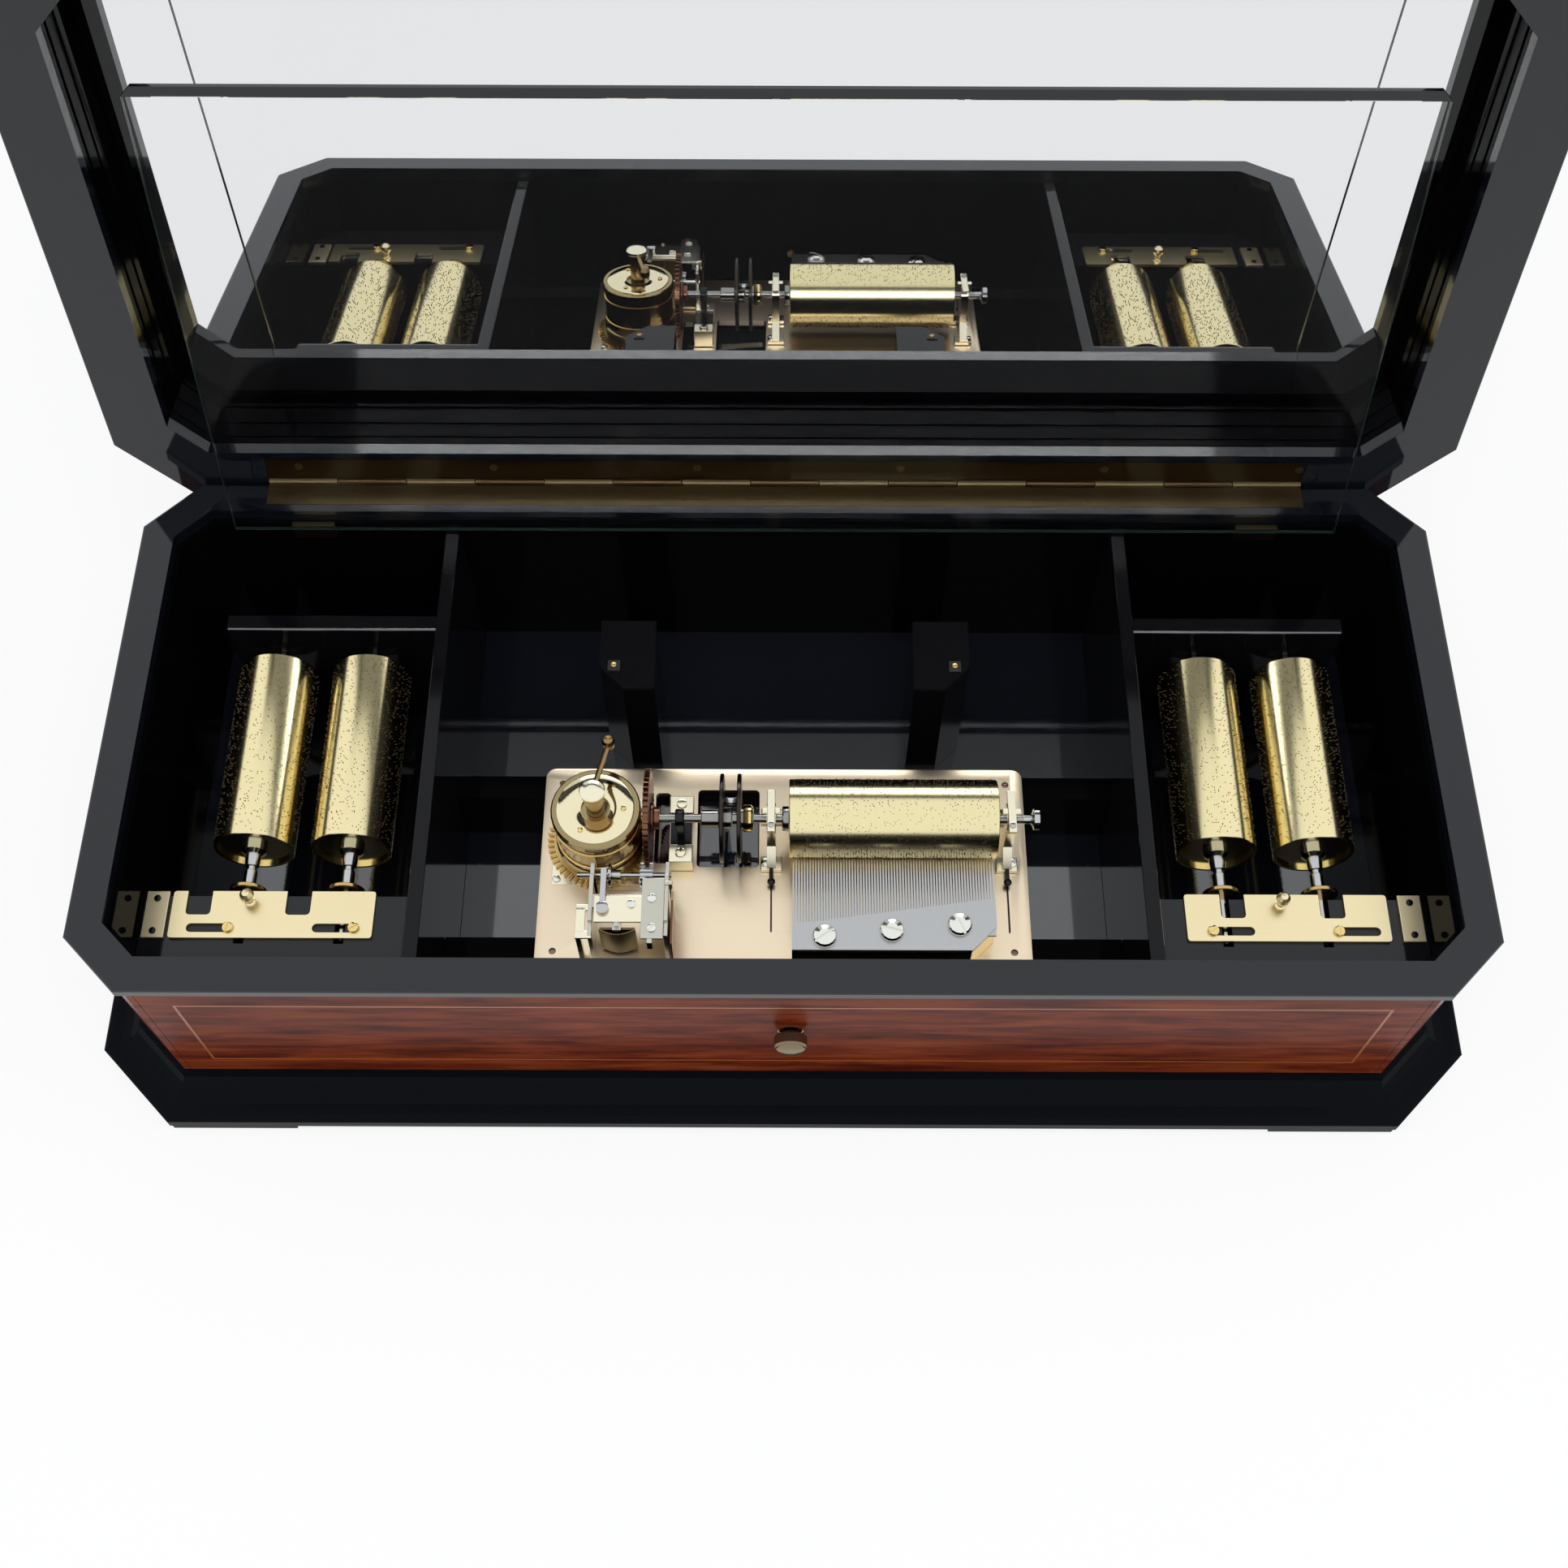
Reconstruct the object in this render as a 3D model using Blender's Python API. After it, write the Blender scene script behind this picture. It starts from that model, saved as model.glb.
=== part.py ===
"""Table music box with interchangeable cylinders, lid and glass inner lid open.

The movement is open to view: a spring barrel with a toothed wheel turns the
cylinder's drive wheel, which turns the governor. A steel comb is plucked by
the cylinder, and four more cylinders lie in racks at the two ends.

Lengths are in millimetres in the functions below and become metres when a
mesh is made. X is to the right, Y to the back and Z up.
"""

from math import atan2, cos, pi, radians, sin, sqrt

import bmesh
import bpy
from mathutils import Matrix, Vector

MM = 0.001
FIT = 0.3
RUNNING_FIT = 0.15

# Case: the rim is the widest part of the box, and every other outline is an offset of it
RIM_HALF_X = 370.0
RIM_HALF_Y = 158.5
RIM_CHAMFER = 30.0
RIM_TOP = 154.0
RIM_THICKNESS = 8.0
RIM_BAND = 19.0
LINING_STEP = 2.5
WALL_INSET = 4.0
WALL_THICKNESS = 9.0
PLINTH_OUTSET = 22.0
FOOT_LOW = -3.5
PLINTH_EDGE_LOW = 2.5
PLINTH_EDGE_HIGH = 11.0
PLINTH_TOP = 26.0
KNOB_X = 4.0
KNOB_Z = 90.0
FOOT_REACH_X = 113.0
FOOT_REACH_Y = 74.0
FLOOR_THICKNESS = 3.0
END_BAY_LENGTH = 177.0
PARTITION_X = RIM_HALF_X - END_BAY_LENGTH
PARTITION_THICKNESS = 8.0
PARTITION_TOP = 146.0

# Lids
LID_OPEN = 100.0
GLASS_OPEN = 105.0
HINGE_RADIUS = 2.3
HINGE_HALF_LENGTH = 301.0
HINGE_LEAF_WIDTH = 14.0
HINGE_LEAF_THICKNESS = 1.0
HINGE_KNUCKLES = 15
LID_OVERHANG = 15.0
LID_EDGE_TOP = 8.0
LID_MOULDING_TOP = 20.0
LID_HEIGHT = 58.0
LID_LINING_OUTER = 8.3
LID_CROWN_WIDTH = 45.0
MIRROR_DEPTH = 46.0
MIRROR_THICKNESS = 3.0
LID_STEPS = ((14.0, 0.0), (25.0, 0.7), (38.0, 1.4), (MIRROR_DEPTH, 2.5))
GLASS_END_INSET = 52.0
GLASS_HALF_X = RIM_HALF_X - GLASS_END_INSET
GLASS_THICKNESS = 3.0
GLASS_CORNER = 5.0
GLASS_RAIL = 5.0
GLASS_HINGE_INSET = 56.0
GLASS_HINGE_X = GLASS_HALF_X - GLASS_HINGE_INSET
GLASS_HINGE_WIDTH = 24.0

# Movement: one axis runs through the drive wheel and the cylinder
AXIS_Y = -36.0
AXIS_Z = 108.0
CYLINDER_RADIUS = 22.0
CYLINDER_LENGTH = 115.0
CYLINDER_START = 3.0
SHAFT_RADIUS = 2.5
BED_HALF_X = 138.0
BED_FRONT = -114.0
BED_BACK = 11.0
BED_TOP = 79.0
BED_THICKNESS = 4.0
BED_HOLE_INSET = 10.0
BED_RAIL_WIDTHS = (16.0, 14.0)
BED_RAIL_INSETS = (4.0, 3.0)
BEARING_X = (-7.0, 126.0)
SHAFT_BEARING_X = -58.0
ARBOR_END = 123.5
UPRIGHT_INNER = 74.0
UPRIGHT_OUTER = 106.0
UPRIGHT_FRONT = 39.0
UPRIGHT_BACK = 84.0
UPRIGHT_CHAMFER = 14.0
UPRIGHT_TOP = 124.0
BARREL_X = -104.0
BARREL_RADIUS = 25.0
BARREL_TOP = 119.0
POST_RADIUS = 5.0
POST_TOP = 143.0
CRANK_Z = 139.2
TOOTH_PITCH = 3.469
DRIVE_TEETH = 48
BARREL_TEETH = 52
PINION_TEETH = 11
PINION_BELOW = 12.0
DRIVE_WHEEL_X = -75.5
DRIVE_WHEEL_THICKNESS = 3.0

# Comb
COMB_TEETH = 72
COMB_LEFT = 4.6
COMB_RIGHT = 116.4
COMB_FRONT = -112.0
COMB_TIP = -57.3
COMB_ROOT_LEFT = -97.0
COMB_ROOT_RIGHT = -81.0
COMB_BOTTOM = 98.0
COMB_THICKNESS = 3.0
TOOTH_SLOT = 0.35
COMB_SCREWS = ((22.4, -104.5), (59.0, -101.0), (96.0, -97.5))
COMB_SCREW_RADIUS = 6.7

# Spare cylinders and their racks
SPARE_FROM_PARTITION = 47.0
SPARE_PITCH = 54.0
SPARE_X = (PARTITION_X + SPARE_FROM_PARTITION, PARTITION_X + SPARE_FROM_PARTITION + SPARE_PITCH)
SPARE_Z = 102.0
SPARE_START = -54.0
SPARE_AXLE_FRONT = 56.0
SPARE_AXLE_BACK = 21.0
RACK_INSET = 12.0
RACK_BEHIND = 30.0
RACK_TOP = 106.7
REAR_RACK_REACH = 27.0
REAR_RACK_GAP = 13.0
REAR_RACK_THICKNESS = 10.0
REAR_RACK_TOP = 129.0
LATCH_FRONT = -109.5
LATCH_BACK = -82.0
LATCH_KNOB_Y = -88.0
LATCH_SLOT = (-106.3, -101.1)
LATCH_SCREW_OFFSETS = (-8.0, 60.0)
LEFT_LATCH = (18.0, 92.0, 50.0)
RIGHT_LATCH = (22.0, 88.0, 30.0)
LATCH_THICKNESS = 2.0
LATCH_TRAVEL = 20.0
NOTCH_WIDTH = 13.5
NOTCH_DEPTH = 14.0
LEFT_NOTCH_SHIFT = 23.5
RIGHT_NOTCH_SHIFT = 4.0

FINISHES = {
    "lacquer": ((0.015, 0.018, 0.022), 0.0, 0.12),
    "rosewood": ((0.16, 0.04, 0.015), 0.0, 0.25),
    "brass": ((0.80, 0.62, 0.25), 1.0, 0.25),
    "pale_brass": ((0.86, 0.72, 0.50), 1.0, 0.35),
    "bronze": ((0.45, 0.18, 0.07), 1.0, 0.35),
    "steel": ((0.55, 0.56, 0.58), 1.0, 0.30),
    "nickel": ((0.75, 0.75, 0.72), 1.0, 0.20),
    "mirror": ((0.90, 0.91, 0.92), 1.0, 0.02),
    "glass": ((0.85, 0.92, 0.90), 0.0, 0.05),
}

AXIS_TURNS = {
    "z": Matrix.Identity(3),
    "x": Matrix(((0, 0, 1), (1, 0, 0), (0, 1, 0))),
    "y": Matrix(((1, 0, 0), (0, 0, 1), (0, 1, 0))),
}


def clear_scene():
    for item in list(bpy.data.objects):
        bpy.data.objects.remove(item, do_unlink=True)


def new_finish(node, kind):
    """A Principled material of its own for one node."""
    colour, metallic, roughness = FINISHES[kind]
    material = bpy.data.materials.new(node + "_finish")
    material.use_nodes = True
    shader = material.node_tree.nodes["Principled BSDF"]
    shader.inputs["Base Color"].default_value = (*colour, 1.0)
    shader.inputs["Metallic"].default_value = metallic
    shader.inputs["Roughness"].default_value = roughness
    if kind == "glass":
        shader.inputs["Transmission Weight"].default_value = 1.0
    return material


def new_solid(name, shape, kind, smooth=False):
    """Turns a bmesh in millimetres into a named object in metres."""
    bmesh.ops.recalc_face_normals(shape, faces=shape.faces)
    bmesh.ops.scale(shape, vec=(MM, MM, MM), verts=shape.verts)
    mesh = bpy.data.meshes.new(name)
    shape.to_mesh(mesh)
    shape.free()
    for face in mesh.polygons:
        face.use_smooth = smooth
    solid = bpy.data.objects.new(name, mesh)
    bpy.context.scene.collection.objects.link(solid)
    if kind:
        mesh.materials.append(new_finish(name, kind))
    return solid


def stitch(shape, rings, loop):
    """Side faces between rings of vertices; a ring of one vertex is a pole."""
    pairs = list(zip(rings, rings[1:] + rings[:1] if loop else rings[1:]))
    for low, high in pairs:
        count = max(len(low), len(high))
        for i in range(count):
            j = (i + 1) % count
            corners = [low[i % len(low)], low[j % len(low)], high[j % len(high)], high[i % len(high)]]
            corners = list(dict.fromkeys(corners))
            shape.faces.new(corners)


def prism(name, outline, low, high, kind, axis="z"):
    """A straight solid over a closed outline, along one axis."""
    shape = bmesh.new()
    turn = AXIS_TURNS[axis]
    rings = [[shape.verts.new(turn @ Vector((a, b, s))) for a, b in outline] for s in (low, high)]
    stitch(shape, rings, False)
    shape.faces.new(rings[0])
    shape.faces.new(rings[1])
    return new_solid(name, shape, kind)


def lathe(name, profile, centre, kind, axis="z", steps=24):
    """A turned solid; the profile's points are radius and place along the axis.

    A profile that leaves the axis makes a ring, which is closed on itself.
    """
    shape = bmesh.new()
    turn = AXIS_TURNS[axis]
    rings = []
    for radius, along in profile:
        count = steps if radius > 0 else 1
        ring = []
        for i in range(count):
            angle = 2 * pi * i / count
            point = Vector((radius * cos(angle), radius * sin(angle), along))
            ring.append(shape.verts.new(turn @ point + Vector(centre)))
        rings.append(ring)
    stitch(shape, rings, profile[0][0] > 0)
    return new_solid(name, shape, kind, smooth=True)


def box(name, low, high, kind):
    outline = [(low[0], low[1]), (high[0], low[1]), (high[0], high[1]), (low[0], high[1])]
    return prism(name, outline, low[2], high[2], kind)


def octagon(offset):
    """The rim's outline moved outwards by an offset, starting at the front's left end."""
    half_x = RIM_HALF_X + offset
    half_y = RIM_HALF_Y + offset
    leg = RIM_CHAMFER + offset * (2 - sqrt(2))
    quarter = [(half_x - leg, half_y), (half_x, half_y - leg)]
    right = [(x, -y) for x, y in quarter] + [(x, y) for x, y in reversed(quarter)]
    return right + [(-x, -y) for x, y in right]


def octagon_ring(name, section, kind):
    """A frame whose cross-section is a closed list of offset and height."""
    shape = bmesh.new()
    rings = [[shape.verts.new((x, y, z)) for x, y in octagon(offset)] for offset, z in section]
    stitch(shape, rings, True)
    return new_solid(name, shape, kind)


def octagon_solid(name, section, kind):
    """A solid whose outline changes with height: a list of offset and height."""
    shape = bmesh.new()
    rings = [[shape.verts.new((x, y, z)) for x, y in octagon(offset)] for offset, z in section]
    stitch(shape, rings, False)
    shape.faces.new(rings[0])
    shape.faces.new(rings[-1])
    return new_solid(name, shape, kind)


def arc(centre, radius, start, end, steps):
    angles = [radians(start + (end - start) * i / steps) for i in range(steps + 1)]
    return [(centre[0] + radius * cos(a), centre[1] + radius * sin(a)) for a in angles]


def rounded_outline(low, high, radius, steps=4):
    """A rectangle with round corners."""
    corners = (
        ((high[0] - radius, low[1] + radius), -90),
        ((high[0] - radius, high[1] - radius), 0),
        ((low[0] + radius, high[1] - radius), 90),
        ((low[0] + radius, low[1] + radius), 180),
    )
    return [point for centre, start in corners for point in arc(centre, radius, start, start + 90, steps)]


def gear_outline(teeth, root, tip, phase, width=1.1):
    """Thin teeth that taper a little to the tip, with a tooth at the phase angle."""
    outline = []
    for i in range(teeth):
        middle = phase + 2 * pi * i / teeth
        for radius, half in ((root, -0.6), (tip, -0.4), (tip, 0.4), (root, 0.6)):
            angle = middle + half * width / radius
            outline.append((radius * cos(angle), radius * sin(angle)))
    return outline


def moved(outline, centre):
    return [(a + centre[0], b + centre[1]) for a, b in outline]


def combine(solid, tools, operation):
    """Applies Booleans with tools that are removed afterwards."""
    for tool in tools:
        change = solid.modifiers.new(tool.name, "BOOLEAN")
        change.operation = operation
        change.solver = "EXACT"
        change.object = tool
    bpy.context.view_layer.update()
    view = bpy.context.evaluated_depsgraph_get()
    result = bpy.data.meshes.new_from_object(solid.evaluated_get(view))
    solid.modifiers.clear()
    solid.data = result
    for tool in tools:
        bpy.data.objects.remove(tool, do_unlink=True)
    return solid


def cut(solid, *tools):
    return combine(solid, tools, "DIFFERENCE")


def fuse(solid, *tools):
    return combine(solid, tools, "UNION")


def set_pivot(solid, point):
    """Puts the object's origin on its joint's axis without moving the solid."""
    place = Vector(point) * MM
    solid.data.transform(Matrix.Translation(-place))
    solid.location = place
    return solid


def make_plinth():
    """Base board with its cove moulding, and the bracket feet left by the cut-outs between them."""
    cove_width = PLINTH_OUTSET - 4.0
    cove_height = PLINTH_TOP - PLINTH_EDGE_HIGH - 1.0
    section = [(PLINTH_OUTSET - 1.0, PLINTH_EDGE_LOW), (PLINTH_OUTSET, PLINTH_EDGE_LOW + 1.0)]
    section += [(PLINTH_OUTSET, PLINTH_EDGE_HIGH - 1.0), (PLINTH_OUTSET - 1.0, PLINTH_EDGE_HIGH)]
    for i in range(6):
        turn = radians(90 * i / 5)
        offset = cove_width - (cove_width + WALL_INSET - 2.0) * sin(turn)
        section.append((offset, PLINTH_TOP - cove_height * cos(turn)))
    plinth = octagon_solid("plinth", section, "lacquer")
    feet = []
    outline = octagon(PLINTH_OUTSET - 1.0)
    for side_x in (-1, 1):
        for side_y in (-1, 1):
            feet.append(bracket_foot(outline, side_x, side_y))
    return fuse(plinth, *feet)


def bracket_foot(outline, side_x, side_y):
    """One corner foot: two arms along the sides, joined round the cut-off corner."""
    far_x = max(x for x, _ in outline)
    far_y = max(y for _, y in outline)
    leg = far_x - max(x for x, y in outline if y == far_y)
    width = 20.0
    points = [
        (far_x - FOOT_REACH_X, far_y),
        (far_x - leg, far_y),
        (far_x, far_y - leg),
        (far_x, far_y - FOOT_REACH_Y),
        (far_x - width, far_y - FOOT_REACH_Y),
        (far_x - width, far_y - leg),
        (far_x - leg, far_y - width),
        (far_x - FOOT_REACH_X, far_y - width),
    ]
    points = [(side_x * x, side_y * y) for x, y in points]
    sides = ("front", "back")[side_y > 0] + "_" + ("left", "right")[side_x > 0]
    return prism("foot_" + sides, points, FOOT_LOW, PLINTH_EDGE_LOW + 2.0, None)


def make_boards(name, outer, inner, low, high, kind):
    """Four boards round the box: plain front and back, and ends that take in the cut-off corners."""
    out = octagon(outer)
    inn = octagon(inner)
    joint = min(out[0][0], inn[0][0]) - FIT / 2
    boards = {}
    for side, label in ((-1, "front"), (1, "back")):
        span = sorted((side * abs(out[0][1]), side * abs(inn[0][1])))
        boards[label] = box(f"{name}_{label}", (-joint, span[0], low), (joint, span[1], high), kind)
    edge = joint + FIT
    for side, label in ((-1, "left"), (1, "right")):
        outline = [(edge, out[0][1]), out[0], out[1], out[2], out[3], (edge, out[3][1])]
        outline += [(edge, inn[3][1]), inn[3], inn[2], inn[1], inn[0], (edge, inn[0][1])]
        outline = [(side * x, y) for x, y in outline]
        boards[label] = prism(f"{name}_{label}", outline, low, high, kind)
    return boards


def make_case():
    """Plinth, floor, veneered walls, inner lining, rim and the two partitions."""
    make_plinth()
    floor_low = PLINTH_TOP + FIT
    floor_top = floor_low + FLOOR_THICKNESS
    inside = -(WALL_INSET + WALL_THICKNESS)
    octagon_solid("floor_panel", [(inside - FIT, floor_low), (inside - FIT, floor_top)], "lacquer")
    rim_low = RIM_TOP - RIM_THICKNESS
    walls = make_boards("wall", -WALL_INSET, inside, PLINTH_TOP + FIT, rim_low - FIT, "rosewood")
    lining_in = -(RIM_BAND + LINING_STEP)
    lining = make_boards("lining", inside - FIT, lining_in, floor_top + FIT, rim_low - FIT, "lacquer")
    round_edge = 1.5
    section = [(0.0, rim_low + round_edge), (0.0, RIM_TOP - round_edge), (-0.5, RIM_TOP - 0.5)]
    section += [(-round_edge, RIM_TOP), (-RIM_BAND, RIM_TOP), (-RIM_BAND, rim_low)]
    section += [(-round_edge, rim_low)]
    rim = octagon_ring("rim", section, "lacquer")
    recess_y = RIM_HALF_Y - HINGE_LEAF_WIDTH
    recess_low = (-HINGE_HALF_LENGTH - FIT, recess_y - FIT, RIM_TOP - HINGE_LEAF_THICKNESS - 0.2)
    recess_high = (HINGE_HALF_LENGTH + FIT, RIM_HALF_Y + 1.0, RIM_TOP + 1.0)
    cut(rim, box("rim_hinge_recess", recess_low, recess_high, None))
    reach = RIM_HALF_Y + lining_in - FIT
    half = PARTITION_THICKNESS / 2
    for side, label in ((-1, "left"), (1, "right")):
        middle = side * PARTITION_X
        low = (middle - half, -reach, floor_top + FIT)
        box(f"partition_{label}", low, (middle + half, reach, PARTITION_TOP), "lacquer")
    return walls, lining, floor_top + FIT


def make_start_knob(walls, lining):
    """Pull knob whose stem runs through the front wall and its lining."""
    face = -(RIM_HALF_Y - WALL_INSET)
    inner = -(RIM_HALF_Y - RIM_BAND - LINING_STEP)
    stem = 3.0
    knob = [(0, face - 10), (8, face - 10), (9, face - 9), (9, face - 4), (8, face - 3)]
    knob += [(stem, face - 3), (stem, inner + 3), (0, inner + 3)]
    solid = lathe("start_knob", knob, (KNOB_X, 0, KNOB_Z), "brass", "y", 20)
    set_pivot(solid, (KNOB_X, face, KNOB_Z))
    for board, name in ((walls["front"], "wall"), (lining["front"], "lining")):
        hole = [(0, face - 2), (stem + FIT, face - 2), (stem + FIT, inner + 2), (0, inner + 2)]
        cut(board, lathe(f"{name}_knob_hole", hole, (KNOB_X, 0, KNOB_Z), None, "y", 16))


def make_lid():
    """Lid in its closed place, then turned open about the hinge."""
    base = RIM_TOP + FIT
    pivot = (0.0, RIM_HALF_Y + HINGE_RADIUS + 0.2, RIM_TOP + FIT / 2)
    inner = -RIM_BAND
    outer = LID_OVERHANG
    section = [(outer - 0.6, base), (outer, base + 0.6), (outer, base + LID_EDGE_TOP - 0.6)]
    cove_width = LID_OVERHANG - 2.0
    cove_height = LID_MOULDING_TOP - LID_EDGE_TOP
    for i in range(6):
        turn = radians(90 * i / 5)
        height = base + LID_MOULDING_TOP - cove_height * cos(turn)
        section.append((outer - 1.0 - cove_width * sin(turn), height))
    groove = FIT - LID_LINING_OUTER
    section += [(groove, base + LID_MOULDING_TOP), (groove, base + LID_EDGE_TOP)]
    section += [(inner, base + LID_EDGE_TOP), (inner, base)]
    rim = octagon_ring("lid_rim", section, "lacquer")
    length = HINGE_HALF_LENGTH + FIT
    leaf_y = RIM_HALF_Y - HINGE_LEAF_WIDTH - FIT
    leaf_top = base + HINGE_LEAF_THICKNESS + 0.2
    leaf_recess = box("lid_leaf_recess", (-length, leaf_y, base - 1), (length, pivot[1], leaf_top), None)
    reach = HINGE_RADIUS + FIT
    low = (-length, pivot[1] - reach, base - 1)
    knuckle_recess = box("lid_knuckle_recess", low, (length, pivot[1] + reach, pivot[2] + reach), None)
    cut(rim, leaf_recess, knuckle_recess)
    band_low = base + LID_MOULDING_TOP + FIT
    band_top = base + MIRROR_DEPTH
    lining_out = -LID_LINING_OUTER
    band = [(0.0, band_low), (0.0, band_top), (groove, band_top), (groove, band_low)]
    solids = [rim, octagon_ring("lid_band", band, "rosewood")]
    level = base + LID_EDGE_TOP + FIT
    lining = [(lining_out, level)]
    for depth, inset in LID_STEPS:
        lining += [(inner - inset, level), (inner - inset, base + depth)]
        level = base + depth
    lining += [(lining_out, level)]
    solids.append(octagon_ring("lid_lining", lining, "lacquer"))
    crown_low = band_top + FIT
    top = base + LID_HEIGHT
    frame_low = top - 5.0
    crown = [(0.0, crown_low), (3.0, crown_low + 1.0), (4.0, crown_low + 3.0), (4.0, top - 4.0)]
    crown += [(2.8, top - 1.2), (0.0, top), (-LID_CROWN_WIDTH, top), (-LID_CROWN_WIDTH, frame_low)]
    crown += [(groove, frame_low), (groove, crown_low)]
    solids.append(octagon_ring("lid_crown", crown, "lacquer"))
    panel = -LID_CROWN_WIDTH - FIT
    solids.append(octagon_solid("lid_panel", [(panel, frame_low), (panel, top - 0.5)], "rosewood"))
    glass_top = crown_low + MIRROR_THICKNESS
    mirror = [(lining_out, crown_low), (lining_out, glass_top)]
    solids.append(octagon_solid("lid_mirror", mirror, "mirror"))
    solids.append(hinge_leaf("hinge_leaf_lid", pivot, 1, base))
    for solid in solids:
        set_pivot(solid, pivot)
        solid.rotation_euler.x = radians(-LID_OPEN)


def hinge_leaf(name, pivot, side, face):
    """One leaf of the long hinge with every second knuckle; side is 1 on the lid and 0 on the case."""
    direction = 1 if side else -1
    outer = face + direction * HINGE_LEAF_THICKNESS
    low, high = sorted((face, outer))
    inner_y = RIM_HALF_Y - HINGE_LEAF_WIDTH
    leaf = box(name, (-HINGE_HALF_LENGTH, inner_y, low), (HINGE_HALF_LENGTH, RIM_HALF_Y, high), "brass")
    pitch = 2 * HINGE_HALF_LENGTH / HINGE_KNUCKLES
    knuckle = arc((pivot[1], pivot[2]), HINGE_RADIUS, 0, 330, 11)
    for i in range(side, HINGE_KNUCKLES, 2):
        start = -HINGE_HALF_LENGTH + i * pitch + FIT
        end = start + pitch - 2 * FIT
        barrel = prism(f"{name}_knuckle_{i}", knuckle, start, end, None, "x")
        web = box(f"{name}_web_{i}", (start, RIM_HALF_Y - 1.0, low), (end, pivot[1] - 1.0, high), None)
        fuse(leaf, barrel, web)
    return leaf


def make_glass_lid():
    """Clear inner lid with thin dark rails at its front and back edges."""
    low = PARTITION_TOP + FIT
    lining = RIM_HALF_Y - RIM_BAND - LINING_STEP
    pivot = (0.0, lining - 5.2, low + GLASS_THICKNESS / 2)
    front = -(RIM_HALF_Y - RIM_BAND - 1.5)
    back = pivot[1]
    behind = pivot[1] + GLASS_THICKNESS / 2 + 0.4
    for side, label in ((-1, "left"), (1, "right")):
        ends = sorted((side * GLASS_HINGE_X, side * (GLASS_HINGE_X + GLASS_HINGE_WIDTH)))
        block_low = (ends[0], behind, PARTITION_TOP - 10.0)
        box(f"glass_hinge_{label}", block_low, (ends[1], lining - FIT, pivot[2] - 0.3), "brass")
    corner = GLASS_CORNER
    pane_front = front + GLASS_RAIL
    outline = [(GLASS_HALF_X, pane_front + FIT), (GLASS_HALF_X, back)]
    outline = outline + [(-x, y) for x, y in reversed(outline)]
    pane = prism("glass_pane", outline, low, low + GLASS_THICKNESS, "glass")
    rail = [(GLASS_HALF_X, pane_front), (GLASS_HALF_X, front + corner), (GLASS_HALF_X - corner, front)]
    rail = rail + [(-x, y) for x, y in reversed(rail)]
    rail = prism("glass_rail", rail, low, low + GLASS_THICKNESS, "lacquer")
    for solid in (pane, rail):
        set_pivot(solid, pivot)
        solid.rotation_euler.x = radians(-GLASS_OPEN)


def spare_cylinder(name, x):
    """A cylinder on its steel axle, with the flange disc that stands behind the latch."""
    end = SPARE_START + CYLINDER_LENGTH
    radius = CYLINDER_RADIUS
    front = SPARE_START - SPARE_AXLE_FRONT
    disc = SPARE_START - 26.0
    profile = [(0, front), (1.5, front), (SHAFT_RADIUS, front + 1), (SHAFT_RADIUS, disc), (10, disc)]
    profile += [(10, disc + 2.5), (3.5, disc + 2.5), (3.5, disc + 14), (SHAFT_RADIUS, disc + 14)]
    profile += [(SHAFT_RADIUS, SPARE_START + 2)]
    profile += [(radius - 2, SPARE_START + 2), (radius - 2, SPARE_START), (radius, SPARE_START)]
    profile += [(radius, end), (radius - 2, end), (radius - 2, end - 2), (SHAFT_RADIUS, end - 2)]
    profile += [(SHAFT_RADIUS, end + SPARE_AXLE_BACK - 0.5), (0, end + SPARE_AXLE_BACK)]
    solid = lathe(name, profile, (x, 0, SPARE_Z), "brass", "y", 22)
    set_pivot(solid, (x, 0, SPARE_Z))


def make_spares(floor_top):
    """Racks, latch plates and the four spare cylinders."""
    slot_half = SHAFT_RADIUS + FIT
    lining = octagon(-(RIM_BAND + LINING_STEP + FIT))
    for side, label in ((-1, "left"), (1, "right")):
        start = PARTITION_X + RACK_INSET
        back = SPARE_START - RACK_BEHIND
        rack = [(start, lining[0][1]), lining[0], lining[1], (lining[1][0], back), (start, back)]
        rack = [(side * x, y) for x, y in rack]
        rack = prism(f"latch_rack_{label}", rack, floor_top, RACK_TOP, "lacquer")
        inner = PARTITION_X + PARTITION_THICKNESS / 2 + FIT
        ends = sorted((side * inner, side * (SPARE_X[1] + REAR_RACK_REACH)))
        face = SPARE_START + CYLINDER_LENGTH + REAR_RACK_GAP
        high = (ends[1], face + REAR_RACK_THICKNESS, REAR_RACK_TOP)
        rear = box(f"rear_rack_{label}", (ends[0], face, floor_top), high, "lacquer")
        depth = face + REAR_RACK_THICKNESS - 1.2
        for number, place in enumerate(SPARE_X):
            x = side * place
            spare_cylinder(f"spare_cylinder_{label}_{number + 1}", x)
            slot = arc((x, SPARE_Z), slot_half, 180, 360, 6)
            slot += [(x + slot_half, RACK_TOP + 2), (x - slot_half, RACK_TOP + 2)]
            front = SPARE_START - SPARE_AXLE_FRONT - 2.0
            cut(rack, prism(f"rack_slot_{label}_{number}", slot, front, back + 1.0, None, "y"))
            hole = [(0, face - 1.0), (slot_half, face - 1.0), (slot_half, depth), (0, depth)]
            cut(rear, lathe(f"rear_hole_{label}_{number}", hole, (x, 0, SPARE_Z), None, "y", 20))
    make_latch("left", -1, [-x - LEFT_NOTCH_SHIFT for x in SPARE_X], LEFT_LATCH)
    make_latch("right", 1, [x + RIGHT_NOTCH_SHIFT for x in SPARE_X], RIGHT_LATCH)


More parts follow.
